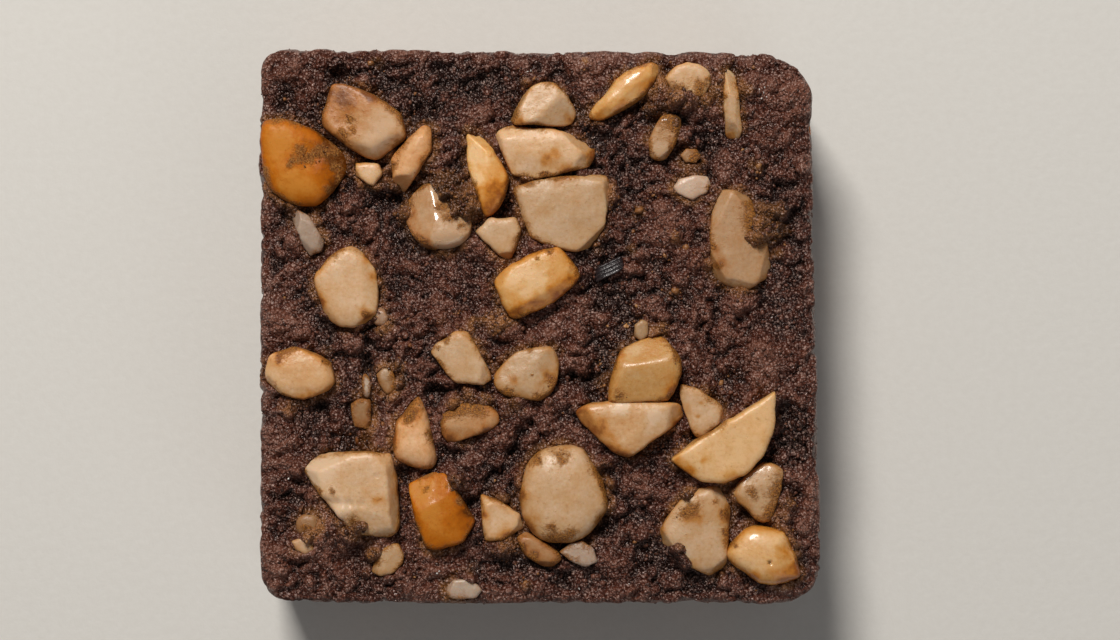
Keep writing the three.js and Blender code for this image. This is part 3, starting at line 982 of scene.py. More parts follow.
        facets=((3, 60, 2.6), (258, 22, 1.6), (160, 8, 2.2), (95, 14, 3.0)), rim=0.25,
        dents=((-20.2, -16.8, 0.6, 0.5), (-19.1, -16.7, 0.45, 0.3), (-18.0, -16.7, 0.45, 0.25),
               (-16.8, -16.7, 0.4, 0.15), (-18.7, -17.6, 0.7, -0.3), (-15.4, -14.1, 0.15, 0.15)),
        # The tan spots along the right wall are painted shade, and the pale spots are painted highlights.
        tan_and_shade_spots=((-13.2, -13.8, 0.6), (-13.1, -15.6, 0.6), (-13.1, -17.4, 0.6), (-13.2, -18.8, 0.6),
              (-15.2, -16.3, 0.5)), pale_and_highlight_spots=((-20.8, -13.5, 1.4), (-18.8, -17.4, 0.9)),
        smears=((-13.0, -14.4, 0.5), (-13.0, -16.0, 0.5), (-13.0, -17.8, 0.5), (-19.6, -15.6, 0.35),
                (-21.1, -15.6, 0.5), (-17.6, -18.5, 0.6))),
    Nut("nut_17", Roast.ORANGE, Break.CHUNK, (-9.4, -17.4), (8.8, 6.8, 2.0), 100, roasted=0.1, bright=0.86,
        wet=0.1,
        corners=((-5.9, -18.1), (-7.5, -15.9), (-8.7, -13.8), (-10.3, -13.6), (-12.5, -14.9),
                 (-12.2, -17.1), (-11.6, -19.2), (-11.0, -20.8), (-10.3, -21.15), (-9.0, -21.05),
                 (-7.2, -20.4), (-6.5, -19.2)), facets=((122, 27, 1.0), (-15, 16, 1.0), (262, 14, 1.8)),
        # The pale spots lighten the top-left facet, which faces the light: partly a painted highlight.
        tan_and_shade_spots=((-7.0, -17.6, 0.8),), pale_and_highlight_spots=((-10.4, -17.8, 1.2), (-11.2, -15.6, 1.2)),
        smears=((-10.9, -15.4, 0.35), (-8.1, -14.9, 0.5), (-7.7, -16.5, 0.35))),
    Nut("nut_18", Roast.TAN, Break.WHOLE, (-12.0, -10.2), (7.8, 4.7, 2.1), 105, bright=1.34, lean=(260, 4),
        corners=((-9.3, -11.2), (-9.8, -9.6), (-10.6, -8.2), (-10.9, -6.7), (-11.3, -5.8), (-12.8, -5.9),
                 (-13.4, -6.9), (-13.7, -9.0), (-14.8, -10.3), (-14.2, -11.6), (-14.0, -12.6),
                 (-12.0, -13.35), (-10.7, -13.85), (-10.0, -13.6), (-9.5, -12.5)),
        facets=((12, 18, 1.4), (95, 10, 1.2), (270, 18, 2.0)),
        tan_and_shade_spots=((-12.2, -8.0, 1.1), (-14.2, -10.8, 0.7)),
        smears=((-12.1, -7.2, 0.9), (-12.4, -8.6, 0.6), (-10.4, -10.2, 0.6), (-13.9, -11.6, 0.4))),
    Nut("nut_19", Roast.CREAM, Break.SLAB, (-3.8, -18.0), (5.8, 4.2, 0.9), -45,
        corners=((-1.6, -19.1), (-2.1, -17.3), (-3.5, -16.7), (-5.2, -15.55), (-5.75, -16.0),
                 (-5.7, -17.6), (-5.3, -20.4), (-3.6, -20.2)),
        tan_and_shade_spots=((-3.2, -19.6, 0.7), (-5.4, -18.0, 0.4))),
    Nut("nut_20", Roast.TAN, Break.SLIVER, (-0.4, -21.2), (5.2, 2.4, 0.8), -32, roasted=0.15, bright=0.78,
        corners=((2.0, -22.0), (1.6, -21.2), (0.1, -20.25), (-1.4, -19.35), (-2.35, -19.95),
                 (-1.6, -21.6), (-0.2, -22.5), (1.1, -22.75)),
        tan_and_shade_spots=((-0.4, -22.0, 0.7), (-1.6, -21.0, 0.5)), smears=((-0.6, -22.0, 0.5), (-1.9, -20.8, 0.4))),
    Nut("nut_21", Roast.WHITE, Break.CHUNK, (3.6, -21.4), (3.4, 1.8, 0.6), -15, bright=0.8, rim=0.3,
        corners=((5.45, -22.3), (4.9, -20.95), (3.9, -20.2), (2.8, -20.5), (1.7, -21.3), (2.6, -22.1),
                 (4.2, -22.7))),
    Nut("nut_22", Roast.GOLD, Break.CHUNK, (-0.5, 4.0), (9.4, 5.6, 2.0), 30, roasted=0.14,
        corners=((3.8, 4.7), (3.55, 5.6), (2.7, 6.6), (1.8, 7.45), (0.5, 7.45), (-2.7, 5.95),
                 (-4.2, 4.65), (-4.5, 4.2), (-4.2, 3.2), (-3.6, 1.6), (-3.1, 0.8), (-2.5, 0.6),
                 (-1.1, 1.05), (0.8, 1.95), (3.0, 3.75)),
        facets=((-60, 36, 1.1), (205, 22, 2.7), (120, 9, 0.6)), rim=0.45, pale_and_highlight_spots=((-1.2, 4.6, 1.5),),
        tan_and_shade_spots=((-0.4, 2.0, 1.1), (1.6, 3.1, 0.9), (3.1, 4.4, 0.7), (-2.4, 1.3, 0.8)),
        smears=((-0.3, 6.3, 0.2), (1.0, 7.0, 0.35))),
    Nut("nut_23", Roast.CREAM, Break.CHUNK, (-1.1, -4.4), (7.4, 5.4, 1.4), 22, bright=0.8,
        corners=((1.8, -3.5), (1.6, -2.5), (0.95, -1.85), (-0.8, -2.05), (-2.5, -2.45), (-4.5, -4.6),
                 (-4.4, -5.7), (-3.4, -6.5), (-1.9, -6.95), (-0.4, -7.15), (0.5, -6.75), (1.2, -5.9),
                 (1.65, -4.9)), facets=((-8, 16, 0.7), (130, 14, 0.4), (262, 18, 1.5)),
        tan_and_shade_spots=((0.9, -4.9, 0.9), (-2.4, -5.2, 0.4)),
        smears=((-3.2, -6.3, 0.7), (-0.2, -6.8, 0.6), (1.1, -5.4, 0.6), (-0.9, -4.5, 0.15),
                (-1.0, -2.1, 0.4))),
    Nut("nut_24", Roast.CREAM, Break.SLAB, (-7.4, -3.1), (7.0, 5.6, 1.5), -36, bright=0.9, rim=0.3,
        corners=((-4.6, -5.0), (-5.0, -3.9), (-6.6, -0.9), (-7.0, -0.45), (-8.0, -0.4), (-9.7, -1.5),
                 (-10.5, -2.5), (-9.3, -4.0), (-8.5, -5.0), (-7.8, -5.45), (-5.4, -5.55)),
        facets=((215, 18, 1.1), (25, 28, 1.3)), smears=((-8.9, -1.1, 0.5), (-9.8, -2.0, 0.4))),
    Nut("nut_25", Roast.TAN, Break.CHUNK, (-6.9, -9.1), (5.6, 3.0, 1.2), 12, roasted=0.14, bright=0.96,
        corners=((-3.8, -9.0), (-4.1, -8.1), (-5.1, -7.3), (-7.6, -7.3), (-9.1, -7.7), (-9.5, -8.8),
                 (-9.3, -10.4), (-8.7, -11.2), (-7.6, -11.0), (-6.4, -10.5), (-4.9, -10.1)),
        facets=((262, 20, 0.5),), tan_and_shade_spots=((-8.8, -10.6, 0.6), (-5.0, -9.8, 0.5)),
        smears=((-7.4, -7.7, 0.9), (-5.6, -7.7, 0.8), (-8.8, -8.2, 0.6))),
    Nut("nut_26", Roast.CREAM, Break.CHUNK, (-18.2, 3.6), (8.2, 7.0, 1.6), 95,
        corners=((-15.2, 2.7), (-15.5, 5.5), (-17.2, 7.3), (-18.0, 7.65), (-18.8, 7.45), (-20.9, 5.6),
                 (-21.4, 4.7), (-21.35, 3.4), (-20.5, 1.3), (-19.9, 0.4), (-18.9, -0.2), (-16.9, -0.1),
                 (-15.4, 0.9)), facets=((8, 24, 1.5), (215, 22, 2.2), (270, 18, 2.4)), rim=0.45,
        tan_and_shade_spots=((-16.3, 6.3, 0.7), (-15.5, 4.4, 0.5), (-20.8, 2.6, 0.6), (-16.5, 1.1, 0.6)),
        smears=((-16.5, 1.2, 0.35), (-15.4, 5.2, 0.3))),
    Nut("nut_27", Roast.CREAM, Break.CHUNK, (-22.7, -4.6), (7.0, 5.6, 1.6), 0, roasted=0.1, bright=1.06,
        corners=((-19.45, -5.4), (-19.8, -3.0), (-21.0, -2.6), (-22.0, -1.95), (-23.4, -1.85),
                 (-25.5, -2.6), (-26.05, -3.9), (-26.05, -5.2), (-25.7, -6.1), (-24.4, -6.5),
                 (-23.2, -7.5), (-21.8, -6.9), (-19.8, -5.9)),
        facets=((268, 22, 1.1), (95, 14, 1.0), (175, 14, 2.0)),
        tan_and_shade_spots=((-22.6, -7.0, 0.9), (-24.5, -2.6, 0.8)),
        smears=((-24.6, -2.3, 0.7), (-23.6, -2.0, 0.5), (-25.5, -6.1, 0.6), (-24.2, -6.9, 0.6),
                (-20.3, -3.4, 0.35))),
    Nut("nut_28", Roast.GOLD, Break.WHOLE, (8.0, 22.2), (9.2, 3.3, 1.6), 35, wet=0.4,
        corners=((11.6, 24.2), (11.1, 24.85), (10.1, 25.0), (7.3, 23.55), (5.9, 22.0), (4.6, 20.4),
                 (4.25, 19.6), (5.1, 19.2), (6.3, 19.45), (8.8, 20.9), (10.1, 21.7), (11.1, 23.4)),
        facets=((130, 24, 0.4), (-50, 24, 0.3)), rim=0.45,
        tan_and_shade_spots=((5.6, 19.7, 0.8), (10.4, 22.6, 0.7), (9.4, 24.4, 0.6), (7.6, 20.6, 0.7))),
    Nut("nut_29", Roast.CREAM, Break.CHUNK, (14.0, 23.4), (4.8, 3.0, 1.0), -5, bright=0.98,
        corners=((16.1, 22.9), (15.8, 24.0), (15.0, 24.75), (13.7, 24.95), (12.5, 24.4), (11.6, 23.4),
                 (12.2, 22.2), (13.4, 21.4), (15.4, 21.6)),
        smears=((12.9, 22.5, 0.7), (15.0, 22.1, 0.8), (15.9, 23.2, 0.4))),
    Nut("nut_30", Roast.TAN, Break.CHUNK, (11.5, 17.7), (4.4, 2.8, 1.0), 72, bright=0.82, wet=0.3,
        corners=((13.3, 18.6), (13.2, 19.6), (12.4, 20.1), (11.4, 19.9), (10.4, 18.4), (10.05, 17.4),
                 (10.3, 15.9), (11.1, 15.55), (11.9, 15.9), (12.7, 17.2)), pale_and_highlight_spots=((11.0, 16.6, 0.9),),
        tan_and_shade_spots=((12.7, 18.4, 0.8),),
        smears=((12.5, 19.0, 0.9), (11.4, 19.8, 0.7), (12.8, 18.0, 0.7), (12.3, 16.9, 0.4))),
    Nut("nut_31", Roast.CREAM, Break.CHUNK, (18.0, 20.8), (7.2, 1.9, 1.35), 92, bright=0.9, rim=0.8,
        lean=(270, 7),
        corners=((19.1, 18.9), (18.9, 20.4), (18.6, 22.2), (18.4, 24.2), (18.0, 25.1), (17.4, 24.9),
                 (17.2, 22.9), (17.25, 19.3), (17.4, 18.0), (18.0, 17.25), (18.6, 17.4)),
        facets=((0, 36, 0.3), (180, 34, 0.3)), tan_and_shade_spots=((18.1, 17.8, 0.8), (18.9, 20.0, 0.5)),
        smears=((18.7, 22.6, 0.5), (18.7, 21.4, 0.4), (17.2, 21.6, 0.3))),
    Nut("nut_32", Roast.TAN, Break.SLAB, (18.7, 8.0), (9.8, 6.8, 1.0), 97, bright=0.8, rim=0.4,
        corners=((21.8, 5.6), (21.3, 8.0), (20.7, 10.2), (19.9, 12.0), (19.1, 12.75), (16.5, 12.85),
                 (16.1, 12.4), (15.9, 8.5), (15.7, 6.2), (16.2, 4.6), (18.2, 3.5), (19.9, 3.5),
                 (21.5, 4.6)), facets=((0, 6, 0.0),), tan_and_shade_spots=((16.4, 7.2, 0.6), (17.0, 6.0, 0.5)),
        smears=((16.2, 7.5, 0.3), (17.0, 5.7, 0.25), (20.5, 10.6, 1.1), (19.9, 9.3, 0.8),
                (20.4, 8.0, 0.8), (20.3, 11.8, 0.6))),
    Nut("nut_33", Roast.TAN, Break.CHUNK, (-12.0, 16.0), (7.0, 4.0, 1.5), 62, roasted=0.1, bright=1.2,
        corners=((-10.15, 17.6), (-10.4, 18.75), (-11.1, 18.9), (-13.5, 16.7), (-14.25, 15.6),
                 (-14.1, 14.2), (-13.8, 12.8), (-13.0, 12.5), (-11.8, 14.1), (-10.3, 16.4)),
        facets=((150, 28, 0.3), (-25, 22, 0.6)), smears=((-13.8, 15.2, 0.6),)),
    Nut("nut_34", Roast.CREAM, Break.CHUNK, (-4.0, 8.4), (4.7, 4.0, 1.1), -15, bright=0.88, rim=0.3,
        corners=((-1.8, 9.0), (-2.4, 10.25), (-4.9, 10.25), (-6.5, 8.7), (-6.3, 8.0), (-4.2, 6.8),
                 (-3.4, 6.0), (-2.8, 6.25), (-2.2, 7.6))),
    Nut("nut_35", Roast.WHITE, Break.CHUNK, (-22.0, 8.8), (5.2, 2.2, 0.8), -63, bright=0.68, wet=0.4,
        rim=0.1,
        corners=((-20.35, 7.9), (-20.9, 8.9), (-21.9, 10.5), (-23.0, 11.1), (-23.9, 11.1), (-23.3, 9.6),
                 (-22.4, 7.4), (-21.8, 6.5), (-20.7, 7.0)), tan_and_shade_spots=((-21.3, 6.8, 0.5),)),
    Nut("nut_36", Roast.CREAM, Break.CHUNK, (-16.4, 14.2), (2.7, 2.0, 0.8), -25, bright=1.06,
        corners=((-14.9, 14.4), (-15.3, 15.3), (-17.5, 15.4), (-17.5, 14.2), (-16.3, 13.4),
                 (-15.8, 13.25))),
    Nut("nut_37", Roast.WHITE, Break.CHUNK, (14.2, 13.1), (3.4, 2.3, 0.6), 5, roasted=0.1, bright=1.04,
        rim=0.3,
        corners=((16.1, 13.4), (15.7, 14.1), (14.3, 14.25), (12.9, 13.8), (12.4, 13.2), (12.8, 12.5),
                 (14.3, 11.9), (15.7, 12.5)), facets=((115, 24, 0.7), (290, 20, 0.8)),
        smears=((16.0, 12.9, 0.4),)),
    Nut("nut_38", Roast.TAN, Break.CHUNK, (14.2, 16.0), (2.1, 1.5, 0.5), 15, bright=0.66,
        corners=((15.1, 15.9), (14.7, 16.7), (13.7, 16.75), (13.15, 16.1), (13.6, 15.4), (14.6, 15.3)),
        smears=((14.7, 16.2, 0.7), (14.3, 15.5, 0.5), (15.0, 15.7, 0.4))),
    Nut("nut_39", Roast.TAN, Break.CHUNK, (-14.4, -5.2), (2.9, 2.0, 0.6), -60, bright=0.64,
        corners=((-13.5, -5.3), (-13.9, -4.3), (-14.8, -3.9), (-15.6, -4.5), (-15.2, -5.5), (-14.5, -6.5),
                 (-13.8, -6.3)), pale_and_highlight_spots=((-15.0, -4.5, 0.6),),
        smears=((-13.8, -4.8, 0.6), (-13.9, -5.9, 0.4))),
    Nut("nut_40", Roast.TAN, Break.CHUNK, (-16.9, -8.3), (3.3, 2.1, 0.5), 95, roasted=0.1, bright=0.6,
        corners=((-16.05, -9.95), (-15.95, -8.4), (-16.1, -6.9), (-17.1, -6.8), (-18.0, -7.3),
                 (-17.95, -8.4), (-17.6, -9.5)), tan_and_shade_spots=((-16.3, -9.3, 0.7), (-16.1, -8.0, 0.4))),
    Nut("nut_41", Roast.TAN, Break.WHOLE, (-22.0, -18.7), (2.3, 2.1, 0.7), 0, roasted=0.1, bright=0.6,
        smears=((-22.0, -19.2, 0.5),)),
    Nut("nut_42", Roast.TAN, Break.CHUNK, (-22.4, -20.8), (2.1, 1.3, 0.95), -30, roasted=-0.2, bright=0.88,
        corners=((-21.25, -21.1), (-21.5, -20.3), (-22.6, -19.9), (-23.5, -20.3), (-23.2, -21.1),
                 (-22.2, -21.6)), smears=((-21.6, -20.7, 0.4),)),
    Nut("nut_43", Roast.CREAM, Break.CHUNK, (-14.5, -22.0), (3.4, 2.5, 0.7), 55, bright=0.76,
        corners=((-12.85, -21.4), (-13.5, -20.45), (-14.5, -20.65), (-15.6, -21.6), (-16.0, -23.2),
                 (-15.2, -23.6), (-13.9, -23.25), (-12.95, -22.3)), smears=((-15.6, -22.2, 0.5),)),
    Nut("nut_44", Roast.WHITE, Break.CHUNK, (-7.3, -24.5), (3.5, 2.2, 0.7), -8, bright=0.77, rim=0.3,
        corners=((-5.5, -24.9), (-6.3, -24.1), (-7.1, -23.75), (-8.3, -23.95), (-8.95, -24.7),
                 (-8.8, -25.6), (-7.6, -25.9), (-6.1, -25.7))),
    Nut("nut_45", Roast.WHITE, Break.WHOLE, (-14.7, 0.9), (1.9, 1.7, 0.8), 0, roasted=0.3, bright=0.82,
        wet=0.3,
        corners=((-14.3, 0.9), (-14.7, 1.7), (-15.35, 1.9), (-15.95, 1.4), (-16.05, 0.6), (-15.65, 0.0),
                 (-14.95, -0.15), (-14.45, 0.2)), smears=((-15.7, 0.8, 0.35),)),
    Nut("nut_46", Roast.WHITE, Break.SLIVER, (-16.5, -5.6), (2.4, 0.9, 0.4), 95, bright=0.76, rim=0.2),
    Nut("nut_47", Roast.CREAM, Break.CHUNK, (9.4, -0.1), (1.9, 1.4, 0.8), 80, bright=0.64,
        corners=((10.15, -0.5), (10.05, 0.35), (9.5, 0.6), (8.75, 0.15), (8.8, -1.0), (9.5, -1.4),
                 (10.1, -0.9))),
)

SIDE_NUTS = (
    Nut("nut_48", Roast.CREAM, Break.CHUNK, (-16.4, 6.4), (7.2, 4.6, 0.25), 18, roasted=0.05, dust=0.1,
        corners=((-13.0, 7.7), (-14.6, 8.9), (-17.1, 8.6), (-19.6, 6.8), (-19.7, 4.9), (-17.5, 3.9),
                 (-14.3, 4.7), (-12.9, 6.1)), facets=((40, 14, 0.4), (230, 18, 1.6)), face=Face.FRONT),
    Nut("nut_49", Roast.GOLD, Break.WHOLE, (1.8, 8.3), (5.6, 4.0, 0.35), -35, dust=0.15, wet=0.2,
        corners=((4.4, 7.2), (4.0, 9.1), (2.3, 10.4), (0.3, 10.6), (-0.8, 9.4), (-0.6, 7.8), (1.3, 6.2),
                 (3.3, 6.0)), facets=((120, 16, 0.3), (300, 20, 1.2)), face=Face.FRONT),
    Nut("nut_50", Roast.TAN, Break.CHUNK, (15.6, 4.8), (4.8, 3.2, 0.2), 8, dust=0.3,
        corners=((18.0, 4.8), (17.3, 6.2), (14.9, 6.3), (13.1, 5.6), (13.6, 3.5), (15.6, 3.2),
                 (17.4, 3.8)), facets=((200, 20, 0.5),), face=Face.FRONT),
    Nut("nut_51", Roast.TAN, Break.CHUNK, (-12.8, 7.6), (6.0, 4.2, 0.25), -22, roasted=0.1, dust=0.2,
        corners=((-9.6, 7.4), (-11.2, 9.2), (-14.1, 9.9), (-15.7, 8.5), (-15.4, 6.8), (-13.0, 5.4),
                 (-10.8, 5.4)), facets=((75, 22, 0.4), (260, 14, 1.0)), face=Face.RIGHT),
    Nut("nut_52", Roast.CREAM, Break.SLAB, (3.4, 5.6), (6.8, 4.4, 0.2), 12, dust=0.05,
        corners=((6.7, 6.3), (5.0, 8.0), (0.9, 7.3), (-0.1, 5.8), (0.7, 3.5), (4.2, 3.5), (6.4, 4.7)),
        facets=((10, 8, 0.2),), face=Face.RIGHT),
    Nut("nut_53", Roast.ORANGE, Break.WHOLE, (17.2, 8.8), (4.4, 3.6, 0.35), 50, dust=0.15,
        corners=((18.3, 10.7), (16.9, 10.8), (15.5, 9.6), (15.1, 8.3), (16.1, 6.9), (17.7, 6.9),
                 (19.0, 8.1), (19.2, 9.5)), facets=((140, 20, 0.6), (320, 16, 0.8)), face=Face.RIGHT),
    Nut("nut_54", Roast.GOLD, Break.CHUNK, (-14.0, 6.8), (6.6, 4.4, 0.25), 30, roasted=0.1, dust=0.1,
        corners=((-11.6, 9.2), (-14.5, 9.0), (-17.2, 6.5), (-16.5, 4.6), (-13.8, 4.4), (-11.1, 6.4)),
        facets=((60, 18, 0.6), (240, 22, 1.0)), face=Face.BACK),
    Nut("nut_55", Roast.WHITE, Break.CHUNK, (0.8, 5.0), (4.6, 3.0, 0.2), -12, dust=0.2,
        corners=((3.0, 4.4), (2.2, 6.1), (0.0, 6.7), (-1.4, 5.6), (-0.8, 4.0), (1.6, 3.3)),
        facets=((150, 16, 0.4),), face=Face.BACK),
    Nut("nut_56", Roast.CREAM, Break.CHUNK, (16.6, 8.2), (7.4, 4.8, 0.25), -6, dust=0.1,
        corners=((20.4, 9.2), (18.3, 10.4), (14.6, 10.6), (13.0, 9.3), (13.5, 7.1), (16.3, 5.8),
                 (19.4, 6.7)), facets=((20, 14, 0.8), (200, 18, 1.6)), face=Face.BACK),
    Nut("nut_57", Roast.TAN, Break.CHUNK, (-3.2, 6.2), (6.2, 4.0, 0.25), -15, roasted=0.15, dust=0.25,
        corners=((-0.4, 4.6), (-0.2, 6.4), (-2.1, 8.0), (-5.2, 8.2), (-6.3, 6.4), (-4.9, 4.6),
                 (-1.9, 4.0)), facets=((95, 20, 0.3), (280, 16, 0.9)), face=Face.LEFT),
    Nut("nut_58", Roast.CREAM, Break.WHOLE, (12.6, 7.8), (5.4, 4.2, 0.35), 40, roasted=0.1, dust=0.15,
        corners=((14.4, 9.9), (12.4, 10.1), (10.4, 8.7), (10.1, 6.8), (11.4, 5.4), (13.7, 6.0),
                 (15.1, 7.8)), facets=((170, 18, 0.5), (350, 18, 1.0)), face=Face.LEFT),
)


class NutBed:
    """The nuts as one surface that the dough and the crumbs measure from, out to a farthest distance."""

    FARTHEST: float = 2.5

    def __init__(self, nuts: Iterable[Nut], slab: "DoughSlab") -> None:
        """Joins coarse shapes of the nuts into one search tree.

        Args:
            nuts: all the nuts.
            slab: the dough that they lie in.
        """
        corners: list[Vector] = []
        faces: list[list[int]] = []
        self.rises: list[float] = []
        for nut in nuts:
            shape = nut.shape(slab, BED_FINENESS)
            shape.verts.index_update()
            start = len(corners)
            corners.extend(vert.co.copy() for vert in shape.verts)
            faces.extend([start + vert.index for vert in made.verts] for made in shape.faces)
            self.rises.extend([nut.size[2]] * len(shape.faces))
            shape.free()
        self.tree = BVHTree.FromPolygons(corners, faces)

    def near(self, point: Vector) -> Pair:
        """Measures to the nearest nut.

        Args:
            point: the place, in millimetres.

        Returns:
            The distance, less than 0 inside the nut, and how far the nut stands out of the dough.
        """
        place, out, face, away = self.tree.find_nearest(point, self.FARTHEST)
        if place is None:
            return self.FARTHEST, 0.0
        if (point - place).dot(out) < 0.0:
            above, facing, _, _ = self.tree.ray_cast(point, UP)
            if above is not None and facing.z > 0.0:
                away = -away
        return away, self.rises[face]

    def gap(self, point: Vector) -> float:
        """Distance to the nearest nut, less than 0 inside one."""
        return self.near(point)[0]

    def drop(self, x: float, y: float) -> Landing:
        """The place and the normal where a crumb dropped from above lands on a nut."""
        return land(self.tree, Vector((x, y, DROP_HEIGHT)), DOWN)


# Noises of the dough, each with its strength, the length of its bumps and an offset
MOUND_WAVES: Waves = ((0.3, 1.1, 3.3), (0.15, 0.5, 1.7))
LUMPS: Waves = ((0.5, 6.0, 0.0), (0.5, 2.7, 2.0))
BILLOWS: Waves = ((1.1, 3.4, 15.0), (1.0, 1.5, 17.0))
CLIMB_WAVES: Waves = ((0.8, 2.4, 11.0), (0.4, 0.9, 13.0))

# How many times its reach a mound is felt, how far a crack strays, and the usual level of a billow
MOUND_END = 2.4
CRACK_STRAY = 0.5
BILLOW_LEVEL = 0.22

# Noise levels between which grease soaks in
GREASE_STEP: Pair = (-0.4, 0.3)


@dataclass(frozen=True)
class Mound:
    """A rise of dough, or a hollow where its height is less than 0.

    It is oily where it was rubbed against a nut, and it may lie over the nut instead of under it.
    """

    at: Pair
    reach: float
    height: float
    oil: float = 0.0
    over: bool = False

    def share(self, point: Vector) -> float:
        """Measures the mound.

        Args:
            point: a place on the dough.

        Returns:
            How much of the mound's height there is, from 0 to 1.
        """
        away = math.hypot(point.x - self.at[0], point.y - self.at[1]) / self.reach
        if away > MOUND_END:
            return 0.0
        uneven = waves(point, MOUND_WAVES, 1.0)
        return math.exp(-((away * uneven) ** 3))


@dataclass(frozen=True)
class Crack:
    """A split in the dough along a line from one place to the next."""

    start: Pair
    end: Pair
    width: float = 0.4
    depth: float = 0.9

    def share(self, point: Vector) -> float:
        """Measures the crack.

        Args:
            point: a place on the dough.

        Returns:
            How much of the crack's depth there is, from 0 to 1.
        """
        wander = Vector((ripple(point, 1.3, 4.4), ripple(point, 1.3, 8.8))) * CRACK_STRAY
        place = Vector((point.x, point.y)) + wander
        first, last = Vector(self.start), Vector(self.end)
        run = last - first
        along = min(1.0, max(0.0, (place - first).dot(run) / run.length_squared))
        away = (place - first - run * along).length / self.width
        return math.exp(-(away**2))


# Dough pushed over nuts: x, y, reach, height and oil of each mound
PUSHED = (
    (11.7, 21.2, 1.3, 1.4, 0.4), (13.6, 21.2, 1.2, 1.4, 0.4), (10.3, 20.5, 0.7, 0.9, 0.6),
    (15.6, 21.4, 0.8, 0.8, 0.8), (21.4, 9.4, 1.6, 1.2, 1.0), (20.1, 8.3, 1.1, 1.2, 1.0),
    (20.9, 10.9, 1.0, 1.1, 1.0), (-8.0, 11.7, 1.9, 2.0, 0.6), (-9.2, 13.5, 1.3, 1.6, 0.7),
    (-7.1, 10.1, 0.9, 1.1, 0.6), (-17.9, -19.4, 1.4, 1.8, 0.4), (-16.8, -18.7, 0.8, 1.9, 0.7),
    (-8.0, -14.7, 1.0, 2.6, 0.5), (-6.0, -19.5, 1.0, 1.3, 0.1), (13.0, -21.0, 0.9, 1.9, 0.1),
    (13.6, -22.3, 0.8, 1.6, 0.1), (13.9, -15.9, 0.8, 1.3, 0.5), (23.3, -16.6, 0.9, 1.1, 0.7),
    (22.9, -17.9, 0.7, 1.0, 0.5), (6.0, -13.0, 0.6, 1.1, 0.6), (6.5, -14.8, 0.5, 0.9, 0.5),
    (-6.9, -6.9, 1.2, 1.0, 0.9), (-5.2, -7.0, 0.8, 1.0, 0.9), (-8.4, -7.4, 0.6, 0.9, 0.8),
    (-3.4, -21.3, 1.1, 1.2, 0.5), (-5.0, -20.8, 0.7, 1.1, 0.3), (-3.2, -16.2, 0.6, 1.1, 0.7),
    (-15.9, -21.4, 0.7, 1.1, 0.8), (0.1, 13.6, 0.4, 1.2, 0.6), (-1.4, 23.1, 0.8, 0.9, 0.7),
    (-13.6, -3.9, 0.7, 0.9, 0.7), (-13.3, -5.3, 0.7, 0.7, 0.8), (-21.9, -19.7, 0.7, 0.9, 0.6),
    (-13.7, 13.2, 0.6, 1.2, 0.4), (14.8, 15.0, 0.8, 0.7, 0.2), (12.7, 19.3, 0.7, 1.1, 0.9),
)

# Rises of the open dough, with the same measures
RISES = (
    (22.4, 11.0, 0.9, 0.6, 0.7), (22.3, 6.9, 0.7, 0.4, 0.6), (22.7, 9.0, 1.0, 0.7, 0.9),
    (-19.6, -19.0, 1.0, 0.8, 0.1), (-2.6, -7.8, 1.1, 0.6, 0.5), (-23.9, -8.0, 1.0, 0.4, 0.7),
    (19.6, 22.3, 0.7, 0.7, 0.7), (16.5, 22.2, 0.6, 0.4, 0.8), (20.4, 15.3, 0.9, 0.5, 0.8),
    (-4.2, 0.0, 1.1, 0.5, 0.9), (-6.2, 0.4, 0.8, 0.4, 0.8), (-9.4, 0.7, 1.1, 0.5, 0.4),
    (5.8, -5.3, 0.9, 0.6, 0.8), (11.5, -0.2, 0.7, 0.4, 0.9), (9.3, 10.8, 0.8, 0.4, 0.8),
    (12.7, 8.2, 0.7, 0.4, 0.7), (8.4, 7.3, 0.7, 0.4, 0.7), (5.4, 7.2, 0.6, 0.5, 0.7),
    (12.5, 3.0, 0.8, 0.4, 0.8), (-16.8, -10.9, 0.9, 0.2, 0.8), (-6.4, -22.8, 0.9, 0.4, 0.6),
    (-1.4, -24.5, 0.6, 0.4, 0.8), (13.9, -12.4, 0.7, 0.3, 0.5), (-15.6, 25.0, 0.9, 0.1, 0.8),
    (4.1, 25.1, 0.5, 0.1, 0.8), (-20.2, -2.2, 0.6, 0.5, 0.6), (-17.4, -6.4, 0.6, 0.4, 0.6),
)

# Hollows of the open dough: x, y, reach and height of each
HOLLOWS = (
    (17.9, 23.7, 0.9, -0.6), (-14.0, 12.0, 1.0, -1.0), (-11.8, 20.4, 0.8, -0.6), (-19.0, 23.6, 1.0, -0.8),
    (-23.9, 21.3, 1.1, -0.6), (-3.9, 11.2, 1.1, -1.1), (15.0, 8.2, 0.8, -0.9), (-10.0, -6.6, 1.0, -1.2),
    (-13.1, -14.1, 0.9, -1.2), (-6.6, -16.6, 0.6, -1.0), (2.3, -24.1, 0.9, -1.0), (-3.4, -22.9, 0.9, -1.0),
    (24.2, -16.0, 0.7, -0.9), (23.0, -8.2, 1.0, -1.2), (-20.8, -7.5, 0.7, -0.9), (19.4, -17.3, 0.9, -0.9),
    (14.0, -10.6, 0.9, -0.8),
)

MOUNDS = (
    *(Mound((x, y), reach, height, oil, True) for x, y, reach, height, oil in PUSHED),
    *(Mound((x, y), reach, height, oil) for x, y, reach, height, oil in RISES),
    *(Mound((x, y), reach, height) for x, y, reach, height in HOLLOWS),
)


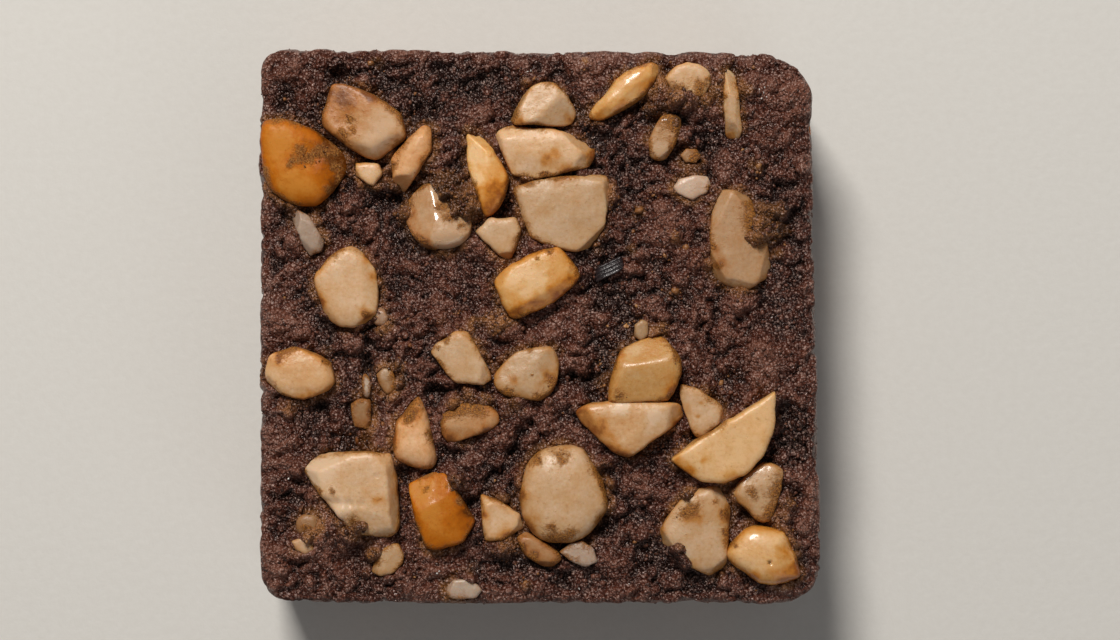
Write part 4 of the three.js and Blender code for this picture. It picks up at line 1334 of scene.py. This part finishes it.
@dataclass
class DoughSlab:
    """The slab of cocoa dough, in millimetres."""

    width: float = 52.5
    depth: float = 51.9
    height: float = 15.0
    back_left: float = 2.1
    back_right: float = 4.4
    front_left: float = 3.0
    front_right: float = 3.8
    right_taper: float = 1.1
    back_taper: float = 0.5
    edge_round: float = 0.8
    swell: float = 0.28
    cells: int = 252
    rows: int = 28
    mounds: tuple[Mound, ...] = MOUNDS
    cracks: tuple[Crack, ...] = (
        Crack((-10.2, 19.0), (-10.0, 21.6)),
        Crack((18.3, 0.6), (21.3, 2.3), 0.4, 0.45),
        Crack((16.0, 14.0), (15.9, 17.4)),
        Crack((2.0, -4.8), (5.3, -5.1), 0.5),
        Crack((-16.4, -0.6), (-16.2, -4.4), 0.45, 1.1),
        Crack((-1.0, -9.0), (-2.6, -11.6), 0.45),
        Crack((-2.6, -11.6), (-4.6, -14.4), 0.45),
    )
    clod: float = 2.8
    clod_stray: float = 0.9
    clod_seam: float = 0.1
    clod_open: float = 0.65
    crumb: float = 0.3
    grit: float = 0.1
    lip_most: float = 0.8
    lip_share: float = 0.5
    lip_reach: float = 0.75
    seam_depth: float = 0.8
    seam_reach: float = 0.35
    socket_depth: float = 2.4
    socket_slope: float = 0.9
    rim_oil: float = 1.1
    oil_reach: float = 0.7
    side_raised: float = 0.75
    side_sunken: float = 0.25
    wear: float = 0.4
    # How much lighter the dough's colour gets towards the edges of the top
    edge_lightening: float = 0.22
    base_height: float = 1.2
    relief: list[float] = field(default_factory=list)
    oil: list[float] = field(default_factory=list)

    def face_matrix(self, face: Face) -> Matrix:
        """Places one face of the bar.

        Args:
            face: the face.

        Returns:
            The matrix from the face's frame, with z out of it, to the bar's.
        """
        if face is Face.TOP:
            return Matrix.Translation((0.0, 0.0, self.height))
        reach, spin = {
            Face.FRONT: (self.depth / 2, 0.0),
            Face.RIGHT: (
                (self.width - self.right_taper) / 2,
                math.pi / 2 + math.atan(self.right_taper / self.depth),
            ),
            Face.BACK: (
                (self.depth - self.back_taper) / 2,
                math.pi - math.atan(self.back_taper / self.width),
            ),
            Face.LEFT: (self.width / 2, -math.pi / 2),
        }[face]
        reach += self.swell
        place = Matrix.Translation((reach * math.sin(spin), -reach * math.cos(spin), 0.0))
        return place @ Matrix.Rotation(spin, 4, "Z") @ Matrix.Rotation(math.pi / 2, 4, "X")

    def _corner(self, x: float, y: float) -> float:
        """Radius of the upright corner on the side of a point."""
        right, left = (self.back_right, self.back_left) if y > 0.0 else (self.front_right, self.front_left)
        return right if x > 0.0 else left

    def _plan(self, x: float, y: float) -> Pair:
        """Moves a place of the square plan to the bar's rounded and tapered plan.

        Args:
            x: the place in the square plan.
            y: the same.

        Returns:
            The place in the bar's plan.
        """
        radius = self._corner(x, y)
        in_x = abs(x) - (self.width / 2 - radius)
        in_y = abs(y) - (self.depth / 2 - radius)
        if in_x > 0.0 and in_y > 0.0:
            pull = max(in_x, in_y) / math.hypot(in_x, in_y)
            x -= math.copysign(in_x * (1.0 - pull), x)
            y -= math.copysign(in_y * (1.0 - pull), y)
        share = (0.5 + x / self.width) * (0.5 + y / self.depth)
        return x - self.right_taper * share, y - self.back_taper * share

    def _over_edge(self, inset: float) -> Pair:
        """Rolls a point over the rounded top edge.

        Args:
            inset: how far in from the side the point is.

        Returns:
            Its new inset, and how far it drops.
        """
        if inset >= self.edge_round:
            return inset, 0.0
        angle = (1.0 - inset / self.edge_round) * math.pi / 2
        return self.edge_round * (1.0 - math.sin(angle)), self.edge_round * (1.0 - math.cos(angle))

    def _blank(self) -> bmesh.types.BMesh:
        """Makes a closed slab with plain faces: a grid whose border is drawn down to the base.

        Returns:
            The slab, in millimetres.
        """
        shape = bmesh.new()
        bmesh.ops.create_grid(shape, x_segments=self.cells, y_segments=self.cells, size=0.5)
        for vert in shape.verts:
            x, y = vert.co.x * self.width, vert.co.y * self.depth
            in_x, drop_x = self._over_edge(self.width / 2 - abs(x))
            in_y, drop_y = self._over_edge(self.depth / 2 - abs(y))
            x = math.copysign(self.width / 2 - in_x, x)
            y = math.copysign(self.depth / 2 - in_y, y)
            x, y = self._plan(x, y)
            vert.co = (x, y, self.height - max(drop_x, drop_y))
        border = [edge for edge in shape.edges if edge.is_boundary]
        step = (self.height - self.edge_round) / self.rows
        for _ in range(self.rows):
            made = bmesh.ops.extrude_edge_only(shape, edges=border)["geom"]
            lower = [item for item in made if isinstance(item, bmesh.types.BMVert)]
            border = [item for item in made if isinstance(item, bmesh.types.BMEdge) and item.is_boundary]
            bmesh.ops.translate(shape, vec=(0.0, 0.0, -step), verts=lower)
        bmesh.ops.edgeloop_fill(shape, edges=border)
        bmesh.ops.recalc_face_normals(shape, faces=shape.faces)
        return shape

    @staticmethod
    def _clods(point: Vector, length: float) -> float:
        """0 on the seam between two clods of dough, rising to 1 inside one."""
        near, _ = noise.voronoi(point / length)
        return ease(0.0, 0.3, near[1] - near[0])

    @staticmethod
    def _billow(point: Vector, length: float, offset: float) -> float:
        """Rounded lumps with sharp creases between them, about 0 on average."""
        return abs(ripple(point, length, offset)) - BILLOW_LEVEL

    def _crumble(self, point: Vector) -> float:
        """Makes the crumbly relief.

        Args:
            point: a place on the plain slab.

        Returns:
            The height of the relief.
        """
        open_seams = ease(-0.2, 0.35, ripple(point, 6.0, 9.0))
        shift = Vector([ripple(point, 1.1, offset) for offset in (1.0, 3.0, 5.0)])
        clods = self._clods(point + shift * self.clod_stray, self.clod) - 1.0
        clods *= self.clod_seam + self.clod_open * open_seams
        clumps = sum(high * self._billow(point, length, offset) for high, length, offset in BILLOWS)
        crumbs = self.crumb * self._billow(point, 0.75, 19.0) + self.grit * ripple(point, 0.5, 6.0)
        return waves(point, LUMPS) + clods + clumps + crumbs

    def _against_nut(self, point: Vector, gap: float, rise: float) -> float:
        """Lets dough climb a nut's wall in places, with a socket below the nut.

        Args:
            point: a place on the plain slab.
            gap: its distance to the nut, less than 0 inside it.
            rise: how far the nut stands out of the dough.

        Returns:
            The height that the nut's nearness adds.
        """
        climb = max(0.0, waves(point, CLIMB_WAVES, 0.5))
        lip = min(self.lip_most, self.lip_share * rise) * climb
        if gap < 0.0:
            return lip - self.socket_depth * ease(0.0, self.socket_slope, -gap)
        seam = self.seam_depth * max(0.0, 0.5 - climb) * math.exp(-((gap / self.seam_reach) ** 2))
        return lip * math.exp(-((gap / self.lip_reach) ** 2)) - seam

    def _relief(self, shape: bmesh.types.BMesh, bed: NutBed) -> None:
        """Presses the crumbly relief into a plain slab and notes its height, which the dough's colour uses as
        painted shade, and the oily dough.

        Args:
            shape: the slab.
            bed: the nuts that it is pressed against.
        """
        shape.normal_update()
        self.relief, self.oil = [], []
        moves = []
        for vert in shape.verts:
            point = vert.co
            gap, rise = bed.near(point)
            on_top = ease(0.4, 0.9, vert.normal.z)
            lift, over = 0.0, 0.0
            oil = 0.0
            if rise > 0.0:
                greasy = ease(*GREASE_STEP, grease(point))
                oil = self.rim_oil * greasy * math.exp(-((max(gap, 0.0) / self.oil_reach) ** 2))
            if on_top > 0.0:
                for mound in self.mounds:
                    share = mound.share(point) * on_top
                    lift += mound.height * share
                    oil += mound.oil * share
                    if mound.over:
                        over = max(over, min(1.0, 1.8 * share))
                for crack in self.cracks:
                    lift -= crack.depth * crack.share(point) * on_top
            press = self._against_nut(point, gap, rise) * (0.4 + 0.6 * on_top) * (1.0 - over)
            inset = min(self.width / 2 - abs(point.x), self.depth / 2 - abs(point.y))
            edge_nearness = 1.0 - ease(0.2, 1.8, inset + 0.8 * ripple(point, 3.0, 21.0))
            crumble = self._crumble(point)
            crumble *= 1.0 - (1.0 - on_top) * (self.side_raised if crumble > 0.0 else self.side_sunken)
            crumble *= 1.0 - self.wear * edge_nearness
            keep = ease(0.0, self.base_height, point.z)
            moves.append(vert.normal * (crumble + press + lift + self.swell * (1.0 - on_top)) * keep)
            # The relief that is painted into the colour as shade: the crumble, the seams and sockets by the
            # nuts, cracks and hollows make it darker or paler, and it is lighter towards the edges of the
            # top.
            self.relief.append(crumble + 0.5 * min(press, 0.0) + min(lift, 0.0) + self.edge_lightening * edge_nearness)
            self.oil.append(oil)
        for vert, move in zip(shape.verts, moves):
            vert.co += move

    def build(self, bed: NutBed, material: bpy.types.Material) -> bpy.types.Object:
        """Models the dough.

        Args:
            bed: the nuts that the dough is pressed against.
            material: the dough's finish.

        Returns:
            The dough, riding on the bar in place of its node.
        """
        shape = self._blank()
        self._relief(shape, bed)
        piece = joined("cocoa_dough", shape, material)
        paint(piece, "relief", self.relief)
        paint(piece, "oil", self.oil)
        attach(piece, BODY)
        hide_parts("dough")
        return piece


class DoughSurface:
    """The finished dough as a surface that crumbs are dropped on."""

    def __init__(self, dough: bpy.types.Object) -> None:
        """Builds the search tree of the dough's mesh, in millimetres.

        Args:
            dough: the finished dough.
        """
        corners = [vert.co / MM for vert in dough.data.vertices]
        faces = [tuple(made.vertices) for made in dough.data.polygons]
        self.tree = BVHTree.FromPolygons(corners, faces)

    def drop(self, x: float, y: float) -> Landing:
        """The place and the normal where a crumb dropped from above lands."""
        return land(self.tree, Vector((x, y, DROP_HEIGHT)), DOWN)

    def throw(self, start: Vector, way: Vector) -> Landing:
        """The place and the normal where a crumb thrown from the side lands."""
        return land(self.tree, start, way)


@dataclass(frozen=True)
class Crumb:
    """One crumb: its middle, its half sizes, its shade and how oily it is."""

    at: Vector
    half: Triple
    shade: float
    oil: float = 0.0


@dataclass
class CrumbLayer:
    """Many crumbs joined in one piece."""

    name: str
    slot: str
    finish: CrumbFinish
    seed: int
    uneven: Pair = (0.5, 1.3)

    def build(self, crumbs: Iterable[Crumb]) -> bpy.types.Object:
        """Joins uneven twenty-sided grains, one for each crumb.

        Args:
            crumbs: where the crumbs lie.

        Returns:
            The layer, riding on the bar.
        """
        grain = bmesh.new()
        bmesh.ops.create_icosphere(grain, subdivisions=1, radius=1.0)
        grain.verts.index_update()
        corners = np.array([vert.co for vert in grain.verts])
        faces = np.array([[vert.index for vert in made.verts] for made in grain.faces])
        grain.free()
        draw = np.random.default_rng(self.seed)
        points, sides, shades, oils = [], [], [], []
        for index, crumb in enumerate(crumbs):
            turn = np.linalg.qr(draw.normal(size=(3, 3)))[0]
            turn *= np.sign(np.linalg.det(turn))
            uneven = corners * draw.uniform(*self.uneven, (len(corners), 1)) * np.array(crumb.half)
            points.append((uneven @ turn.T + np.array(crumb.at)) * MM)
            sides.append(faces + index * len(corners))
            shades.extend([crumb.shade] * len(corners))
            oils.extend([crumb.oil] * len(corners))
        mesh = bpy.data.meshes.new(self.name)
        mesh.from_pydata(np.concatenate(points).tolist(), [], np.concatenate(sides).tolist())
        mesh.materials.append(self.finish.material())
        mesh.polygons.foreach_set("use_smooth", [True] * len(mesh.polygons))
        piece = shown(self.name, mesh)
        paint(piece, "shade", shades)
        paint(piece, "oil", oils)
        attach(piece, BODY)
        return piece


@dataclass
class CrumbScatter:
    """Where crumbs lie: over the dough, at the rims and on the smears of the nuts, and on the sides."""

    slab: DoughSlab
    surface: DoughSurface
    bed: NutBed
    top_count: int = 4600
    side_count: int = 900
    bit_count: int = 40
    bits_about: int = 5
    rim_density: float = 6.0
    smear_density: float = 14.0
    mound_density: float = 24.0
    mound_least: int = 4
    margin: float = 1.4
    side_reach: float = 24.0
    side_low: float = 0.8
    side_high: float = 1.2
    bit_reach: float = 24.5
    throw_from: float = 60.0
    clear: float = 0.1
    top_sizes: Pair = (0.1, 0.3)
    side_sizes: Pair = (0.1, 0.26)
    rim_sizes: Pair = (0.08, 0.22)
    smear_sizes: Pair = (0.05, 0.12)
    mound_sizes: Pair = (0.08, 0.24)
    bit_sizes: Pair = (0.08, 0.2)
    glint_grain_sizes: Pair = (0.07, 0.15)
    dough_seed: int = 11
    bit_seed: int = 23
    glint_grain_seed: int = 37

    @staticmethod
    def _half(draw: np.random.Generator, least: float, most: float) -> Triple:
        """Half sizes of a crumb, small ones more often than large ones."""
        size = least + (most - least) * draw.uniform() ** 2.2
        return tuple(size * draw.uniform(0.65, 1.35, 3))

    def _bare(self, x: float, y: float) -> Landing:
        """Drops a crumb on bare dough.

        Args:
            x: where it is dropped.
            y: the same.

        Returns:
            The place and the normal on the dough, or nothing where a nut covers it.
        """
        place, out = self.surface.drop(x, y)
        cover, _ = self.bed.drop(x, y)
        if place is None or (cover is not None and cover.z > place.z):
            return None, None
        return place, out

    def _on_top(self, draw: np.random.Generator) -> Iterator[Crumb]:
        """Drops crumbs on the bare dough of the top.

        Args:
            draw: the random numbers.

        Returns:
            The crumbs, one by one.
        """
        reach_x, reach_y = self.slab.width / 2 - self.margin, self.slab.depth / 2 - self.margin
        for _ in range(self.top_count):
            x, y = draw.uniform(-reach_x, reach_x), draw.uniform(-reach_y, reach_y)
            half, shade = self._half(draw, *self.top_sizes), draw.uniform()
            place, _ = self._bare(x, y)
            if place is None:
                continue
            gap = self.bed.gap(place)
            if gap < half[0]:
                continue
            oil = 0.9 * math.exp(-gap / 0.6) * ease(*GREASE_STEP, grease(place))
            yield Crumb(place, half, shade, oil)

    def _on_sides(self, draw: np.random.Generator) -> Iterator[Crumb]:
        """Presses crumbs into the four sides.

        Args:
            draw: the random numbers.

        Returns:
            The crumbs, one by one.
        """
        for _ in range(self.side_count):
            spin = draw.integers(4) * math.pi / 2
            along = draw.uniform(-self.side_reach, self.side_reach)
            up = draw.uniform(self.side_low, self.slab.height - self.side_high)
            half, shade = self._half(draw, *self.side_sizes), draw.uniform()
            way = Vector((-math.cos(spin), -math.sin(spin), 0.0))
            start = Vector((-way.y * along, way.x * along, up)) - way * self.throw_from
            place, out = self.surface.throw(start, way)
            if place is not None and self.bed.gap(place) > self.clear:
                yield Crumb(place - out * half[0] * 0.2, half, shade)

    def _at_rims(self, draw: np.random.Generator, nuts: Iterable[Nut]) -> Iterator[Crumb]:
        """Puts golden crumbs of the dough along parts of the nuts' rims.

        Args:
            draw: the random numbers.
            nuts: the nuts of the top.

        Returns:
            The crumbs, one by one.
        """
        for nut in nuts:
            for _ in range(int(self.rim_density * (nut.size[0] + nut.size[1]))):
                bearing = draw.uniform(0.0, math.tau)
                far = nut.outline(bearing) + draw.normal(0.25, 0.3)
                half, shade = self._half(draw, *self.rim_sizes), draw.uniform()
                x, y = nut.at[0] + far * math.cos(bearing), nut.at[1] + far * math.sin(bearing)
                oil = draw.uniform(0.2, 0.9)
                place, out = self._bare(x, y)
                if place is not None and grease(place) > -0.2:
                    yield Crumb(place - out * half[0] * 0.3, half, shade, oil)

    def _on_smears(self, draw: np.random.Generator, nuts: Iterable[Nut]) -> Iterator[Crumb]:
        """Sticks golden crumbs in the smears of dough on the nuts.

        Args:
            draw: the random numbers.
            nuts: the nuts of the top.

        Returns:
            The crumbs, one by one.
        """
        for nut in nuts:
            for x, y, radius in nut.smears:
                for _ in range(int(self.smear_density * radius**2)):
                    across, along = draw.normal(0.0, radius * 0.5, 2)
                    half, shade = self._half(draw, *self.smear_sizes), draw.uniform(0.4, 1.0)
                    place, _ = self.bed.drop(x + across, y + along)
                    if place is not None and place.z > self.slab.height:
                        yield Crumb(place, half, shade, 1.0)

    def _on_mounds(self, draw: np.random.Generator) -> Iterator[Crumb]:
        """Drops crumbs on the dough that is pushed over the nuts.

        Args:
            draw: the random numbers.

        Returns:
            The crumbs, one by one.
        """
        for mound in self.slab.mounds:
            if not mound.over:
                continue
            for _ in range(int(self.mound_density * mound.reach**2) + self.mound_least):
                across, along = draw.normal(0.0, mound.reach * 0.62, 2)
                half, shade = self._half(draw, *self.mound_sizes), draw.uniform()
                oil = min(1.0, mound.oil * draw.uniform(0.6, 1.6))
                place, out = self._bare(mound.at[0] + across, mound.at[1] + along)
                if place is not None:
                    yield Crumb(place - out * half[0] * 0.2, half, shade, oil)

    def dough_crumbs(self, nuts: Iterable[Nut]) -> list[Crumb]:
        """Grains of dough.

        Args:
            nuts: the nuts that have smears and rims.

        Returns:
            The crumbs.
        """
        draw = np.random.default_rng(self.dough_seed)
        crumbs = list(self._on_top(draw))
        crumbs.extend(self._on_sides(draw))
        crumbs.extend(self._at_rims(draw, nuts))
        crumbs.extend(self._on_smears(draw, nuts))
        crumbs.extend(self._on_mounds(draw))
        return crumbs

    def nut_crumbs(self, bits: Iterable[Quad]) -> list[Crumb]:
        """Bits of nut skin: known ones with small ones about them, then others at random.

        Args:
            bits: x, y, half length and shade of each known bit.

        Returns:
            The crumbs.
        """
        draw = np.random.default_rng(self.bit_seed)
        crumbs = []
        for x, y, size, shade in bits:
            place, out = self._bare(x, y)
            if place is None:
                continue
            crumbs.append(Crumb(place - out * size * 0.1, (size * 0.8, size * 0.6, size * 0.5), shade))
            for _ in range(self.bits_about):
                across, along = draw.normal(0.0, size, 2)
                half, tone = self._half(draw, *self.bit_sizes), shade * draw.uniform(0.2, 1.0)
                place, _ = self._bare(x + across, y + along)
                if place is not None:
                    crumbs.append(Crumb(place, half, tone))
        for _ in range(self.bit_count):
            x, y = draw.uniform(-self.bit_reach, self.bit_reach, 2)
            size, shade = draw.uniform(0.1, 0.26), draw.uniform(0.0, 0.6)
            place, out = self.surface.drop(x, y)
            if place is not None and self.bed.gap(place) > self.clear:
                crumbs.append(Crumb(place + out * size * 0.1, (size * 1.2, size, size * 0.8), shade))
        return crumbs

    def glint_grains(self, places: Iterable[Pair]) -> list[Crumb]:
        """Glossy grains at known places on the dough; their near-white colour is a painted glint.

        Args:
            places: x and y of each grain.

        Returns:
            The grains.
        """
        draw = np.random.default_rng(self.glint_grain_seed)
        grains = []
        for x, y in places:
            place, out = self.surface.drop(x, y)
            half = tuple(draw.uniform(*self.glint_grain_sizes, 3))
            grains.append(Crumb(place + out * 0.05, half, draw.uniform(0.4, 1.0)))
        return grains


# Places of near-white glossy grains whose pale colour is a painted glint
GLINT_GRAIN_PLACES = (
    (20.6, 22.3), (21.0, 22.0), (21.3, 21.6), (20.8, 21.5), (21.1, 22.5), (20.5, 21.9), (-1.0, 24.1),
    (-1.3, 24.0), (8.3, -24.4), (-23.9, -14.4), (-9.8, -23.3), (-9.6, -23.1), (5.5, 8.1), (3.6, -24.8),
)

NUT_BITS = (
    (13.5, 7.4, 0.7, 0.25), (12.6, 3.2, 0.7, 0.3), (9.4, 11.0, 0.8, 0.25), (4.2, 25.0, 0.5, 0.3),
    (-16.0, 24.9, 0.7, 0.3), (17.0, -5.4, 0.5, 0.35), (13.2, -11.4, 0.4, 0.3), (-1.5, -24.2, 0.5, 0.3),
    (11.4, 0.0, 0.5, 0.3), (8.0, 0.0, 0.6, 0.7), (20.5, 15.0, 0.7, 0.4), (-17.4, -10.8, 0.6, 0.1),
    (-4.0, -0.4, 0.5, 0.25), (-4.6, 0.8, 0.4, 0.3), (-6.4, 0.6, 0.4, 0.25), (-3.2, 0.6, 0.35, 0.35),
    (10.6, 12.3, 0.4, 0.3), (12.6, 9.0, 0.4, 0.25), (11.7, 6.6, 0.45, 0.3), (5.9, -5.6, 0.4, 0.35),
    (5.6, -3.6, 0.4, 0.3), (9.0, 1.9, 0.4, 0.5), (-7.8, 1.2, 0.3, 0.3), (-13.6, -8.4, 0.35, 0.35),
)


@dataclass(frozen=True)
class CocoaNib:
    """A dark glossy broken nib with a ridged face, in millimetres."""

    at: Pair = (6.45, 5.4)
    length: float = 2.9
    width: float = 1.35
    rise: float = 0.6
    turn: float = 25.0
    slant: float = 0.45
    ridges: float = 0.36
    ridge_height: float = 0.14
    ridge_stray: float = 0.06
    squareness: float = 6.0
    jag: float = 0.3
    pits: float = 0.12
    fineness: int = 5

    def build(self, surface: DoughSurface, material: bpy.types.Material) -> bpy.types.Object:
        """Models the nib where it lies on the dough.

        Args:
            surface: the dough.
            material: the nib's finish.

        Returns:
            The nib, riding on the bar.
        """
        shape = bmesh.new()
        bmesh.ops.create_icosphere(shape, subdivisions=self.fineness, radius=1.0)
        for vert in shape.verts:
            way = vert.co.copy()
            size = sum(abs(part) ** self.squareness for part in way) ** (-1 / self.squareness)
            x = way.x * self.length * size / 2
            y = way.y * self.width * size / 2
            z = way.z * self.rise * size
            x += self.slant * y + self.jag * ripple(Vector((way.x, y, z)), 0.55, 4.0)
            bent = y + self.ridge_stray * ripple(Vector((x, y, z)), 0.8, 2.0)
            z += self.ridge_height * abs(math.sin(math.pi * bent / self.ridges))
            vert.co = Vector((x, y, z + self.pits * ripple(Vector((x, y, z)), 0.9, 6.0)))
        place, _ = surface.drop(*self.at)
        matrix = Matrix.Translation(place) @ Matrix.Rotation(math.radians(self.turn), 4, "Z")
        bmesh.ops.transform(shape, matrix=matrix, verts=shape.verts)
        piece = joined("cocoa_nib", shape, material)
        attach(piece, BODY)
        return piece


@dataclass(frozen=True)
class Lamp:
    """A square soft light that faces the bar, in metres and watts."""

    name: str
    bearing: float
    elevation: float
    distance: float
    size: float
    power: float
    colour: Triple = (1.0, 1.0, 1.0)

    def build(self) -> None:
        """Hangs the light."""
        light = bpy.data.lights.new(self.name, "AREA")
        light.energy, light.size, light.color = self.power, self.size, self.colour
        around, up = math.radians(self.bearing), math.radians(self.elevation)
        out = Vector((math.cos(around) * math.cos(up), math.sin(around) * math.cos(up), math.sin(up)))
        lamp = shown(self.name, light)
        lamp.location = out * self.distance
        lamp.rotation_euler = out.to_track_quat("Z", "Y").to_euler()


@dataclass(frozen=True)
class Studio:
    """Pale floor, soft lights and a camera that looks straight down, in metres."""

    floor_size: float = 3.0
    floor_cells: int = 8
    lens: float = 100.0
    camera_at: Triple = (0.00179, 0.00057, 0.3087)
    ambient: float = 0.1
    lamps: tuple[Lamp, ...] = (
        Lamp("key", 108.0, 50.0, 0.6, 0.16, 3.2, (1.0, 0.97, 0.92)),
        Lamp("fill", -60.0, 28.0, 0.9, 0.6, 1.0),
    )

    def build(self) -> None:
        """Lays the floor, hangs the lights and places the camera."""
        shape = bmesh.new()
        cells, half = self.floor_cells, self.floor_size / 2 / MM
        bmesh.ops.create_grid(shape, x_segments=cells, y_segments=cells, size=half)
        floor = joined("floor", shape, FloorFinish().material())
        for lamp in self.lamps:
            lamp.build()
        scene = bpy.context.scene
        scene.world = bpy.data.worlds.new("studio")
        scene.world.use_nodes = True
        background = scene.world.node_tree.nodes["Background"]
        background.inputs["Color"].default_value = (1.0, 1.0, 1.0, 1.0)
        background.inputs["Strength"].default_value = self.ambient
        scene.view_settings.view_transform = "Standard"
        camera = shown("camera", bpy.data.cameras.new("camera"))
        camera.data.lens = self.lens
        camera.location = self.camera_at
        scene.camera = camera


def main() -> None:
    """Builds the bar piece by piece and reports each one."""
    logging.basicConfig(level=logging.INFO, format="%(name)s: %(message)s")
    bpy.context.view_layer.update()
    Studio().build()
    slab = DoughSlab()
    nuts = (*TOP_NUTS, *SIDE_NUTS)
    bed = NutBed(nuts, slab)
    dough = slab.build(bed, DoughFinish().material())
    LOG.info("%s with %d points", dough.name, len(dough.data.vertices))
    finishes = {finish.roast: finish.material() for finish in NUT_FINISHES}
    for nut in nuts:
        piece = nut.build(slab, finishes[nut.roast])
        LOG.info("%s with %d points", piece.name, len(piece.data.vertices))
    surface = DoughSurface(dough)
    scatter = CrumbScatter(slab, surface, bed)
    grains = CrumbFinish("dough_grains", tint("#34190f"), tint("#74493a"))
    bits = CrumbFinish("nut_bits", tint("#6e3812"), tint("#cf9a62"))
    # Near-white colours of the grains that paint glints
    glint_grains = CrumbFinish("glint_grains", tint("#a39a94"), tint("#e8e2dc"), rough=0.12)
    for layer, crumbs in (
        (CrumbLayer("dough_crumbs", "dough", grains, 5), scatter.dough_crumbs(TOP_NUTS)),
        (CrumbLayer("nut_crumbs", "nut_tan", bits, 6), scatter.nut_crumbs(NUT_BITS)),
        (CrumbLayer("pale_glint_grains", "nut_white", glint_grains, 7), scatter.glint_grains(GLINT_GRAIN_PLACES)),
    ):
        piece = layer.build(crumbs)
        LOG.info("%s with %d crumbs", piece.name, len(crumbs))
    nib = CocoaNib().build(surface, NibFinish().material())
    LOG.info("%s with %d points", nib.name, len(nib.data.vertices))


if __name__ == "__main__":
    main()
